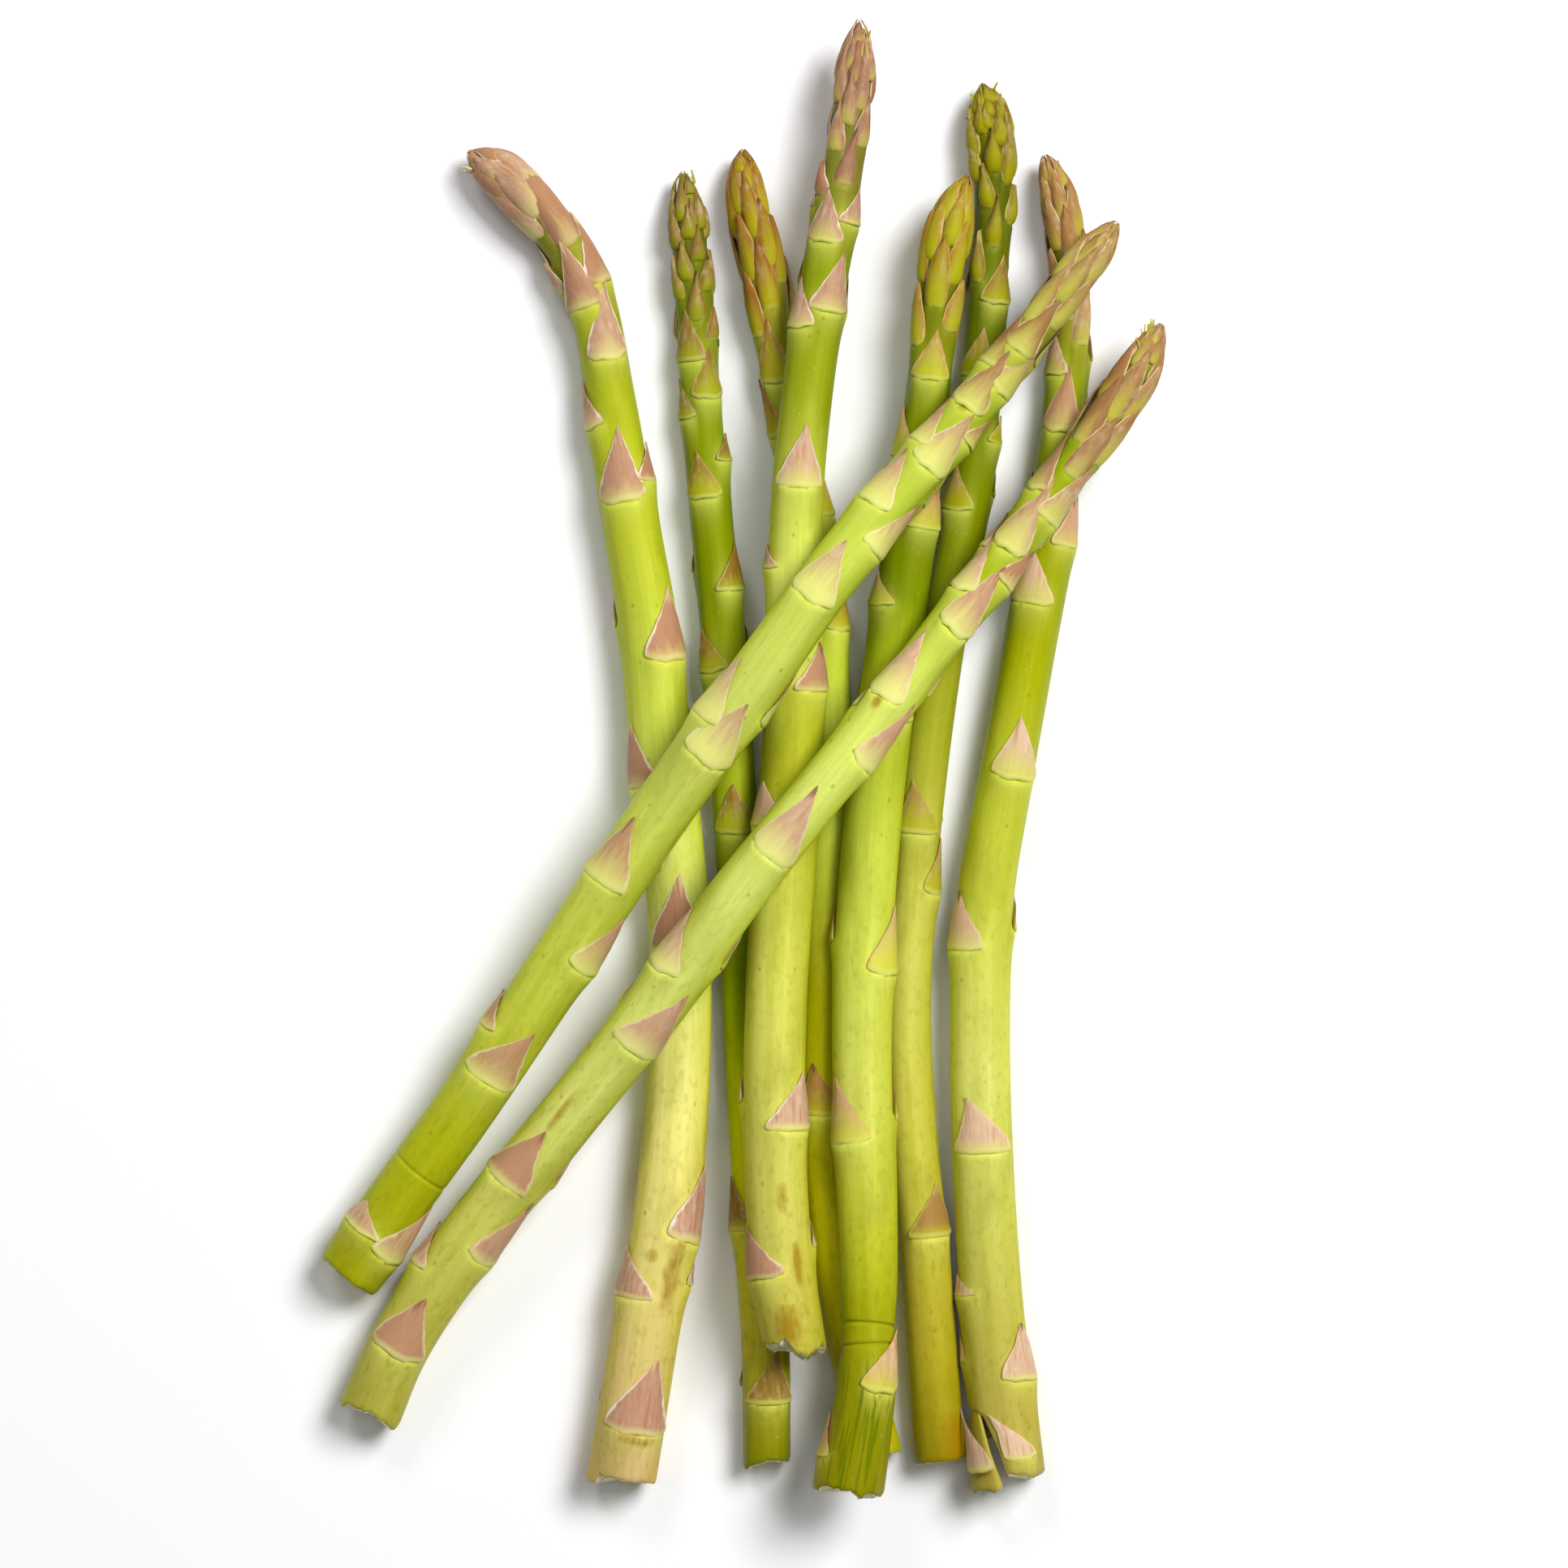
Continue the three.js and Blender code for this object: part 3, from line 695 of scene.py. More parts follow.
def skin_material(name, tones):
    """The waxy skin of a stem."""
    made, tree, grain = new_material(name)
    share = attribute(tree, "share")
    colour = stem_colour(tree, tones, grain)
    colour = blend(attribute(tree, "swell") * 0.45, colour, SHOULDER_GREEN)

    # Painted shade: the stem is darkened between the scales of the head, where they shade it. Then
    # specks, flecks, patches and stains.
    between = share.ramp(0.86, 0.92) * share.ramp(0.985, 0.955)
    colour = blend(between, colour, tinted(colour, (0.5, 0.56, 0.3, 1.0)))
    colour = blend(grain["Specks"] * 0.5, colour, OLIVE)
    colour = blend(grain["Flecks"] * 0.3, colour, WAX_FLECK)
    colour = blend(grain["Patches"].ramp(0.52, 0.72) * 0.34, colour, OLIVE)
    blotches = grain["Mottle"].ramp(0.52, 0.7) * share.ramp(0.8, 0.1)
    colour = blend(blotches * 0.3, colour, OLIVE)
    patchy = grain["Streaks"] + grain["Mottle"]
    lined = grain["Streaks"].ramp(0.42, 0.62) * 1.25
    marks = parts_of(attribute(tree, "marks", "Vector"))
    for mark, pattern, stain in zip(marks, (patchy, lined, patchy), STAINS):
        colour = blend((mark * pattern).ramp(0.4, 1.0) * 0.75, colour, stain)
    wax = {"Value": grain["Patches"], "To Min": 0.38, "To Max": 0.5}
    shade(made, {
        "Base Color": colour,
        "Normal": relief(tree, grain["Relief"], 0.1 * MM, 0.22),
        "Roughness": out(add(tree, "ShaderNodeMapRange", wax)),
        "Specular IOR Level": 0.2,
        "Specular Tint": (1.0, 0.96, 0.2, 1),
        "Subsurface Weight": 0.1,
        "Subsurface Radius": (1.0, 0.9, 0.2),
        "Subsurface Scale": 1.2 * MM,
    })
    return made


def scale_material(name, tones, foot, body, head_foot, head_body, edge, tip, flush):
    """The papery scales: green at the foot, flushed in the middle, pale at the thin edge, with a painted
    highlight above the foot.
    """
    made, tree, grain = new_material(name)
    share = attribute(tree, "share")
    tone = attribute(tree, "tone")
    across, up, _ = parts_of(attribute(tree, "blade", "Vector"))
    across = across.math("ABSOLUTE")
    along = up + (grain["Streaks"] - 0.5) * 0.9 * up.ramp(0.02, 0.4) + (tone - 0.5) * 0.22
    headward = share.ramp(0.75, 0.93)
    bloom = headward * 0.75 + 0.12
    near_butt = share.ramp(0.45, 0.0) * up.ramp(0.0, 0.22)
    flushed = along + across**3.0 * bloom + near_butt * 0.5

    # The flush, paler in patches and deeper in streaks.
    middle = blend(headward, linear(*body), linear(*head_body))
    paler = blend(0.24, middle, linear(238, 220, 190))
    deeper = tinted(middle, linear(228, 206, 190))
    middle = blend(grain["Mottle"].ramp(0.48, 0.66), middle, paler)
    middle = blend(grain["Streaks"].ramp(0.5, 0.3), middle, deeper)
    middle = blend(tone.ramp(0.4, 1.0), middle, deeper)

    # From the stem's colour at the foot to the flush, a painted highlight above the foot, the dry tip and
    # the thin pale edge.
    stem = stem_colour(tree, tones, grain)
    base = blend(headward, linear(*foot), linear(*head_foot))
    base = blend(grain["Mottle"] * 0.5, base, stem)
    colour = blend(up.ramp(0.0, 0.05), stem, base)
    colour = blend(flushed.ramp(*flush), colour, middle)
    # Painted highlight: a pale band just above the foot of each scale, fading out in the head.
    foot_highlight = up.ramp(0.0, 0.03) * up.ramp(0.12, 0.06) * share.ramp(0.92, 0.84)
    colour = blend(foot_highlight * 0.3, colour, linear(240, 242, 150))
    colour = blend(along.ramp(0.88, 1.02), colour, linear(*tip))
    worn = across + (grain["Mottle"] - 0.5) * 0.25
    rim = worn.ramp(0.86, 0.95) * up.ramp(0.03, 0.15) * up.ramp(0.97, 0.82)
    colour = blend(rim * 0.72, colour, linear(*edge))

    # The threads of the head are told by their tone, which is over 1.
    colour = blend(tone.ramp(1.2, 1.8), colour, linear(*head_foot))
    shade(made, {
        "Base Color": colour,
        "Normal": relief(tree, grain["Relief"], 0.12 * MM, 0.5),
        "Roughness": 0.5,
        "Specular IOR Level": 0.18,
        "Specular Tint": (1.0, 0.92, 0.5, 1),
        "Subsurface Weight": 0.06,
        "Subsurface Radius": (1.0, 0.8, 0.5),
        "Subsurface Scale": 0.8 * MM,
    })
    return made


def cut_material():
    """The fibrous pale flesh of a cut butt, with its scattered veins."""
    made, tree, _ = new_material("cut flesh")
    grown = attribute(tree, "grown", "Vector")
    veins = wires(add(tree, "ShaderNodeTexVoronoi", {"Vector": grown, "Scale": 1.5}))["Distance"]
    soft = out(add(tree, "ShaderNodeTexNoise", {"Vector": grown, "Scale": 0.9, "Detail": 4.0}))
    colour = blend(soft.ramp(0.35, 0.7), linear(240, 234, 166), linear(253, 250, 220))
    colour = blend(veins.ramp(0.3, 0.12) * 0.6, colour, linear(214, 194, 112))
    rough = relief(tree, soft + veins, 0.3 * MM, 0.7)
    shade(made, {"Base Color": colour, "Normal": rough, "Roughness": 0.75})
    return made


cut_flesh = cut_material()


def placed_scales(rng, length, scales, head, tips, threads, head_spread):
    """Every scale and thread as (foot, angle, length, lean, half width, in head, raised)."""
    placed = []
    for group, in_head in ((scales, False), (head, True)):
        for foot, turn, size, lean, *rest in group:
            spread = head_spread if in_head else STEM_SPREAD - SPREAD_LOSS * foot / length
            spread = rest[0] if rest else spread
            raised = rest[1] if len(rest) > 1 else 0
            placed.append((foot, turn, size, lean, spread, in_head, raised))

            # The underside has as many as the top, half a turn round and a little further on.
            if abs(turn) < TOP_TURN and not raised:
                step = rng.uniform(*UNDER_STEPS) * size * (0.3 if in_head else 1)
                foot = min(foot + step, length - 0.75 * size)
                turn = turn + 180 + rng.uniform(*UNDER_TURNS)
                placed.append((foot, turn, size, -lean, spread, in_head, 0))
    count, reach, first, last = threads
    for _ in range(count):
        foot = length - rng.uniform(THREAD_START, reach)
        turn = rng.uniform(first, last)
        size = rng.uniform(*THREAD_LENGTHS)
        lean = rng.uniform(*THREAD_LEANS)
        placed.append((foot, turn, size, lean, THREAD_SPREAD, True, 0))
    count, size, turn = tips
    for i in range(count):
        foot = length - TIPS_START + TIPS_SPAN * i / (count - 1)
        long = size * (1.1 - 0.2 * i / count)
        placed.append((foot, turn + GOLDEN_ANGLE * i, long, 0, head_spread, True, 0))
    return placed


def scale_spots(name, rng, placed, length, radius_at, head_kind, shut):
    """A point for each scale, with its size, lift, lean, tone and kind."""
    places = []
    sizes = []
    facts = {"lean": [], "lift": [], "tone": [], "kind": []}
    for foot, turn, size, lean, spread, in_head, raised in placed:
        places.append((foot * MM, math.radians(turn), raised * MM))
        tall = SCALE_HEIGHT
        if in_head:
            tall = HEAD_HEIGHT * min(1, max(0.4, (length - foot) / HEAD_THINNING))
        long = min(size, length + TIP_OVERHANG - foot)
        sizes.append((long * MM, math.radians(spread), tall * MM * rng.uniform(*HEIGHT_SHARES)))

        # A scale of the head closes over the tip, and one of the stem clears the next shoulder.
        top = foot + long
        lift = rng.uniform(*LIFTS)
        if in_head:
            closing = min(1, max(0, (top - length + shut) / shut)) ** 1.5
            to_middle = 0.4 + 0.25 * (length + TIP_OVERHANG - top) - radius_at(top) - tall
            lift += closing * to_middle
        else:
            under_tip, _ = shoulders_at(placed, np.float64(top - 1), math.radians(turn + lean))
            lift += 1.1 * under_tip
        thread = spread == THREAD_SPREAD
        facts["lean"].append(math.radians(lean))
        facts["lift"].append((rng.uniform(*THREAD_LIFTS) if thread else lift) * MM)
        facts["tone"].append(THREAD_TONE if thread else rng.uniform(0, 1))
        facts["kind"].append(rng.choice(head_kind if in_head else STEM_SCALES))
    spots = bpy.data.meshes.new(name)
    spots.from_pydata(places, [], [])
    note(spots, "size", "FLOAT_VECTOR", "POINT", np.ravel(sizes))
    for key, values in facts.items():
        note(spots, key, "INT" if key == "kind" else "FLOAT", "POINT", values)
    return shown(name, spots)


def grow_spear(
    name, called, tones, papery, route, scales, head, tips, seed, butt, marks=(), creases=(),
    ribbing=0.05, threads=(0, 4, -180, 180), head_kind=ONION, head_spread=HEAD_SPREAD, shut=6,
    split=None,
):
    """One whole spear on its route.

    tones are the stem's colours from butt to head, and papery holds those of its scales: foot,
    body, foot and body at the head, edge, tip, and where the flush starts and is full.
    scales and head hold [foot, angle, length, lean], and then, where they differ from the
    usual, the half width and the height off the stem. threads are (count, reach, first and last
    angle), tips (count, length, first angle), butt (the cut's depth from left to right, slant,
    raggedness), marks (kind, place, angle, length, width) and creases (place, width, depth).
    """
    rng = np.random.default_rng(seed)
    line = smooth_route(route)
    distances = np.r_[0, np.cumsum(np.linalg.norm(np.diff(line[:, :3], axis=0), axis=1))]
    length = distances[-1]

    def radius_at(distance):
        return float(np.interp(distance, distances, line[:, 3]))

    placed = placed_scales(rng, length, scales, head, tips, threads, head_spread)
    spots = scale_spots(name + "_places", rng, placed, length, radius_at, head_kind, shut)
    path = route_object(name + "_route", line)
    cut = (butt, marks, creases, ribbing, split)
    sheet = stem_sheet(name + "_sheet", length, radius_at, placed, seed, *cut)

    # The tree grows the spear, and its result becomes a plain mesh.
    grower = sheet.modifiers.new("grow", "NODES")
    grower.node_group = grow_tree
    given = {
        "Route": path,
        "Scale places": spots,
        "Blades": blades,
        "Skin": skin_material("skin of the " + called, tones),
        "Scale": scale_material("scales of the " + called, tones, *papery),
        "Cut end": cut_flesh,
        "Length": length * MM,
        "Surface level": 0.0,
    }
    for socket in grow_tree.interface.items_tree:
        if socket.in_out == "INPUT" and socket.name in given:
            grower[socket.identifier] = given[socket.name]
    graph = bpy.context.evaluated_depsgraph_get()
    evaluated = sheet.evaluated_get(graph)
    data = bpy.data.meshes.new_from_object(evaluated, preserve_all_data_layers=True, depsgraph=graph)
    for used in (sheet, spots, path):
        bpy.data.objects.remove(used)
    data.name = name
    return shown(name + "_grown", data)


spear = grow_spear(
    "bent",
    "bent spear",
    tones=[
        (0, (212, 178, 124)), (0.1, (222, 202, 122)), (0.2, (236, 222, 130)), (0.28, (238, 230, 134)),
        (0.42, (220, 226, 116)), (0.55, (198, 208, 76)), (0.7, (184, 192, 44)), (0.85, (162, 170, 14)),
        (1, (186, 146, 104)),
    ],
    papery=(
        (226, 214, 138), (198, 156, 128), (222, 208, 138), (187, 147, 114), (248, 240, 216),
        (206, 176, 130), (0, 0.32),
    ),
    route=[
        [-20.6, -120.6, 5.7, 5.8], [-18.5, -108, 5.6, 5.7], [-15.9, -92, 5.8, 5.5], [-12.8, -74, 6, 5.5],
        [-10.9, -50, 5.9, 5.3], [-11, -26, 5.7, 5.1], [-13.7, -2, 5.8, 5.2], [-15.8, 20, 5.6, 5],
        [-19.2, 40, 5.2, 4.6], [-22.4, 60, 4.8, 4.1], [-25.4, 75, 4.7, 3.8], [-30.5, 86.5, 4.9, 3.6],
        [-38, 95, 5.3, 3.6], [-42.4, 98.4, 5.3, 3.1], [-45.8, 100.5, 5.2, 1.8],
    ],
    scales=[
        [8.2, 12, 13.4, 18], [30.5, -52, 8.5, -30], [41, 62, 13.5, 20], [88, -5, 14, 20],
        [116.5, -60, 11, 0], [137, 40, 12.5, 15], [164, -8, 13, 14], [167, 80, 7, 0], [177, -72, 8.5, 0],
        [187.8, 14, 13, 34, 50], [197.3, -20, 12.5, 4], [200.4, 56, 12.5, 12],
    ],
    head=[
        [201, -88, 7, 0], [208, 14, 20.5, 44, 46], [211.8, -62, 16, -6, 44], [215.2, -9, 15.5, 12, 50],
        [218.5, 42, 12.5, 12, 44], [220, -50, 11.5, 0, 44],
    ],
    tips=(9, 7, 160),
    head_kind=LEAF,
    seed=11,
    threads=(2, 2.5, -130, -40),
    butt=([(-1, -1), (-0.74, -0.9), (-0.66, 0.9), (-0.5, 0.2), (0.4, 0.1), (1, 0.6)], 0.3, 0.6),
    marks=[
        (BROWN, 36, 28, 8.5, 1.9), (BROWN, 38.2, -12, 1.5, 1.3), (BROWN, 7.4, 14, 1.2, 4),
        (DRY, 34, -88, 34, 2.6),
    ],
)
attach(spear, "root")
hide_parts("spear_bent_head")

# ---------------- the slim spear
# The thinnest and greenest spear, lying on the table beside the bent one. It is grown on the
# same node tree, with small scales and a narrow shut head.

spear = grow_spear(
    "slim",
    "slim spear",
    tones=[
        # The stops at 0.07 and 0.1 are made lighter to offset the shade that the tall spear's butt casts
        # there: painted light.
        (0, (126, 128, 2)), (0.07, (160, 154, 26)), (0.1, (200, 192, 56)), (0.23, (208, 214, 12)),
        (0.3, (186, 200, 6)), (0.38, (132, 152, 4)), (0.48, (150, 166, 16)), (0.55, (170, 182, 36)),
        (0.66, (126, 140, 2)), (0.85, (128, 144, 1)), (1, (132, 120, 40)),
    ],
    papery=(
        (176, 172, 36), (150, 122, 44), (150, 152, 20), (148, 126, 60), (188, 166, 96), (124, 98, 52),
        (0.14, 0.5),
    ),
    route=[
        [3.7, -117.8, 3.9, 4], [3.5, -98, 4.1, 4], [1.9, -72, 4.4, 4], [0.5, -48, 4.4, 3.9],
        [-0.6, -24, 4.3, 3.8], [-2.2, 0, 4.3, 3.7], [-3.8, 22, 4.2, 3.6], [-5.8, 42, 4, 3.4],
        [-7.4, 62, 3.8, 3.1], [-8.7, 80, 3.7, 2.8], [-9.6, 90, 3.8, 2.6], [-10.3, 97.3, 4, 1.3],
    ],
    scales=[
        [10, 5, 9, 15], [39, -65, 9.5, 0], [105, 0, 8.5, 5], [132, -45, 8, -10], [145.3, 45, 8.3, 12],
        [161, -15, 8.4, -12], [167, 76, 5, 0], [174.5, -66, 6.5, 0], [177.5, 25, 9, 18],
        [184, -30, 9, -5],
    ],
    head=[
        [187.2, 58, 6, 0], [190.7, 4, 8.7, 12], [194.3, -55, 8, 0], [195.5, 45, 5.5, 0],
        [197.5, -25, 7, 5], [200.7, 25, 6.5, 0], [203, -50, 6.5, 5], [204.5, 0, 6, 0], [206, 52, 6, 0],
        [207.5, -22, 6, 0],
    ],
    tips=(11, 5, 100),
    seed=12,
    threads=(3, 4, -180, 180),
    butt=([(-1, -0.9), (-0.2, 0.2), (1, 0.5)], 0.3, 0.8),
)
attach(spear, "root")
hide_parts("spear_slim_left")

# ---------------- the spear under the middle
# A slim spear low in the middle of the pile, whose butt and head show and whose stem the tall
# one and the kinked one cover. It is grown on the same node tree.

spear = grow_spear(
    "under",
    "spear under the middle",
    tones=[
        # The stop at 0.14 is made lighter to offset the shade of the tall and kinked spears lying over
        # this stretch: painted light.
        (0, (186, 178, 24)), (0.14, (212, 204, 10)), (0.35, (178, 174, 6)), (0.52, (200, 214, 74)),
        (0.7, (178, 190, 44)), (0.82, (158, 166, 36)), (1, (140, 104, 24)),
    ],
    papery=(
        (186, 176, 30), (180, 142, 72), (172, 160, 6), (150, 106, 34), (206, 170, 100), (124, 82, 44),
        (0.2, 0.8),
    ),
    route=[
        [22.4, -116.4, 3.8, 3.9], [18.2, -100, 4, 3.9], [14.4, -80, 4.3, 3.9], [12.8, -58, 4.3, 3.8],
        [13.2, -34, 4.3, 3.7], [14, -10, 4.2, 3.6], [14, 10, 4.1, 3.5], [12.6, 30, 4, 3.4],
        [8.8, 50, 3.9, 3.3], [5.6, 66, 3.9, 3.2], [3.2, 80, 4, 3.2], [0.9, 91, 4.2, 2.8],
        [-0.1, 97, 4.2, 2.3], [-0.4, 100.8, 4.2, 1.5],
    ],
    scales=[
        [57.5, 0, 9, -15], [138, 55, 9, 0], [157, 72, 8, 0], [171.5, -64, 10.5, 0], [180.3, -15, 11, 10],
        [112, -90, 9, 0],
    ],
    head=[
        [188.3, -52, 12, 5], [192.3, 5, 12.5, -5], [196.5, 60, 12, -5], [197.7, -36, 12, 3],
        [199.5, 35, 12, -5], [204.8, 5, 11.5, -5], [205.5, -72, 11, 5], [209, -45, 9.5, 5],
        [208, 50, 9.5, 0],
    ],
    tips=(13, 8.5, 130),
    head_kind=LEAF,
    seed=13,
    threads=(2, 4, -180, 180),
    butt=([(-1, 0.3), (1, -0.4)], 0.3, 0.5),
)
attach(spear, "root")
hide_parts("spear_under_middle")

# ---------------- the tall spear
# The longest in reach, lying on the slim one and the one under the middle. Its butt is torn
# short in a pale ragged edge, and it is grown on the same node tree.

spear = grow_spear(
    "tall",
    "tall spear",
    tones=[
        # The darker stops at 0.43 and 0.48 are painted shadow, where the two crossing spears shade this
        # stretch.
        (0, (190, 178, 62)), (0.08, (208, 202, 96)), (0.25, (212, 212, 96)), (0.36, (200, 202, 78)),
        (0.43, (176, 180, 36)), (0.48, (184, 188, 48)), (0.54, (220, 226, 110)), (0.6, (206, 214, 92)),
        (0.72, (150, 160, 24)), (0.82, (132, 147, 3)), (1, (156, 118, 86)),
    ],
    papery=(
        (222, 208, 122), (204, 166, 136), (202, 186, 88), (164, 123, 96), (240, 224, 192), (132, 92, 72),
        (0.02, 0.34),
    ),
    route=[
        [8.6, -98.8, 13.9, 5.1], [6.2, -84, 13.9, 5.2], [5, -64, 13.4, 5.1], [5.2, -42, 12.7, 5.1],
        [6.4, -20, 11.7, 5.1], [8, 2, 11.4, 5], [8.4, 22, 11.8, 4.7], [8.7, 42, 12.3, 4.3],
        [10.4, 60, 12, 4.1], [12.8, 77, 11.2, 3.8], [15.6, 93, 10.6, 3.4], [17.8, 108, 10.2, 3],
        [18.6, 116, 10, 2.4], [19, 122, 9.8, 1.1],
    ],
    scales=[
        [13, -52, 9, -25], [37, 40, 10, 15], [87, -56, 8, 0], [110, 52, 8.5, 0], [130.4, -86, 4, 0],
        [143.6, 0, 10.7, 0], [169.6, -55, 9, 0], [173, 25, 10.8, 10], [184.3, -20, 9.5, -10],
        [188.2, 58, 6.5, 0],
    ],
    head=[
        [192.2, -62, 6, 0], [194.3, 8, 10, 12], [199.7, -35, 9, 8], [201, 48, 9, 0], [204.3, -10, 9.5, 0],
        [207, 25, 12, 0], [208, -48, 11.5, 4], [211.5, 0, 9.5, 0],
    ],
    tips=(13, 7, 150),
    seed=14,
    threads=(4, 4, 0, 90),
    butt=([(-1, 2), (-0.25, 2), (-0.1, 0.4), (0.35, -1.2), (1, 0.1)], 0.8, 1.7),
    marks=[(BROWN, 5, -5, 4, 3), (BROWN, 15, 30, 4, 1.2), (BROWN, 26, 10, 3, 1.2)],
)
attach(spear, "root")
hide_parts("spear_tall")

# ---------------- the spear with the kinked butt
# A thick spear lying on the one under the middle and on the dark-headed one. Its butt is bent
# over and creased at two places. It is grown on the same node tree.

spear = grow_spear(
    "kinked",
    "kinked spear",
    tones=[
        (0, (140, 134, 2)), (0.08, (150, 150, 4)), (0.14, (168, 172, 20)), (0.2, (192, 196, 48)),
        (0.3, (212, 216, 98)), (0.46, (204, 214, 80)), (0.58, (172, 184, 34)), (0.68, (122, 138, 1)),
        (0.85, (124, 136, 2)), (1, (150, 132, 30)),
    ],
    papery=(
        (208, 202, 70), (204, 166, 122), (178, 178, 20), (168, 136, 36), (216, 174, 110), (150, 106, 54),
        (0.22, 0.85),
    ),
    route=[
        [17.3, -121.8, 14.5, 5.8], [19.4, -110, 14.6, 5.2], [20.4, -102, 14.1, 4.9],
        [20.6, -95, 13.2, 4.4], [20.7, -88, 12.4, 4.7], [20.4, -74, 11.2, 4.9], [19.5, -52, 10.6, 4.9],
        [19.9, -30, 10.4, 4.9], [21.6, -8, 9.8, 4.8], [24.3, 14, 9.4, 4.7], [26.8, 32, 9.1, 4.3],
        [29.1, 50, 9, 3.9], [31.1, 66, 8.9, 3.5], [32.9, 81, 9, 3.3], [34.5, 89.4, 9.1, 2.8],
        [36.8, 96.2, 9.2, 1.3],
    ],
    scales=[
        [16.8, 26, 11, 58, 38], [5, -88, 8, 0, 40], [58, -42, 11.5, -20], [86, 60, 12, 10],
        [147, -62, 6, 0], [160.6, 42, 8, 12], [172, -60, 9, 0], [128, 10, 9, 0], [185.2, 0, 8.8, 5],
    ],
    head=[
        [190.6, -60, 11, 5], [193.5, 50, 9.5, 5], [197.2, -10, 12.6, 8], [201.5, 38, 11.5, 4],
        [201.5, -80, 12, 15], [204.9, -52, 12.5, 15], [206, 76, 11, 0], [207.7, 13, 11.5, 2],
    ],
    tips=(12, 8.5, 140),
    head_kind=LEAF,
    seed=15,
    butt=([(-1, -0.4), (0, 0.4), (0.3, -0.3), (1, 0.4)], 0.6, 1.3),
    marks=[(BROWN, 23, 58, 1.6, 1.4), (DRY, 8, -75, 6, 1.8), (GREEN, 8, -5, 17, 7.5)],
    creases=[(24.6, 0.3, 0.35), (28, 0.28, 0.4)],
    ribbing=0.09,
)
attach(spear, "root")
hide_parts("spear_kinked_butt")

# ---------------- the spear with the dark head
# A slim spear on the table, olive towards its head, which is blunt and packed with small dark
# green buds. It is grown on the same node tree.

spear = grow_spear(
    "dark",
    "dark-headed spear",
    tones=[
        (0, (146, 128, 2)), (0.06, (176, 162, 34)), (0.16, (194, 184, 66)), (0.24, (200, 194, 76)),
        (0.36, (204, 202, 92)), (0.52, (170, 172, 44)), (0.68, (124, 136, 1)), (0.84, (96, 112, 1)),
        (1, (128, 120, 20)),
    ],
    papery=(
        (172, 168, 22), (180, 152, 86), (162, 156, 8), (134, 116, 30), (190, 182, 88), (176, 154, 84),
        (0.25, 0.75),
    ),
    route=[
        [32.7, -117.6, 4.2, 4.3], [31.4, -102, 4.4, 4.3], [29.9, -82, 4.7, 4.2], [28, -62, 4.6, 4],
        [27.1, -42, 4.5, 3.9], [28.2, -20, 4.5, 3.9], [30.3, 0, 4.4, 3.8], [33.4, 22, 4.4, 3.8],
        [37, 42, 4.3, 3.7], [39.2, 60, 4.2, 3.5], [40.6, 78, 4.1, 3.2], [41.4, 94, 4.1, 3],
        [41, 104, 4.2, 3.1], [40.2, 109.6, 4.2, 2.2], [39.6, 112.3, 4.2, 1.2],
    ],
    scales=[
        [37.6, 25, 9.2, 15], [95, 76, 10, 0], [105, -5, 9, -30], [159, -35, 8, 0], [171, 80, 5, 0],
        [181.7, -20, 8.5, 10], [194, 30, 8.5, 12],
    ],
    head=[
        [197.3, -40, 9.2, 5], [203.3, 5, 9.2, 8], [207.3, 68, 7, 0], [209.8, -20, 8, -8],
        [213.8, 52, 12.5, 0], [214.2, -60, 8, 0], [215.8, 2, 8, 0], [218.5, -66, 9, 5],
        [220.4, 27, 6.8, 0], [221, 72, 7.5, 0], [222.4, -30, 6.5, 5], [225.3, 2, 4.5, 0], [225, 50, 5, 0],
        [226, -60, 4.5, 0], [227, -25, 4, 0], [227.5, 28, 3.5, 0],
    ],
    tips=(14, 4, 20),
    head_kind=BUD,
    seed=16,
    marks=[(BROWN, 4, 40, 5, 4)],
    shut=2.5,
    head_spread=29,
    threads=(24, 7, -180, 180),
    butt=([(-1, 0), (1, 0.4)], 0.2, 0.4),
)
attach(spear, "root")
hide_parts("spear_dark_head")

# ---------------- the right-hand spear
# The outermost spear on the right, lying on the table. Its butt has split lengthways, so a
# sliver stands off from it, made on its sheet before both grow on the same node tree.

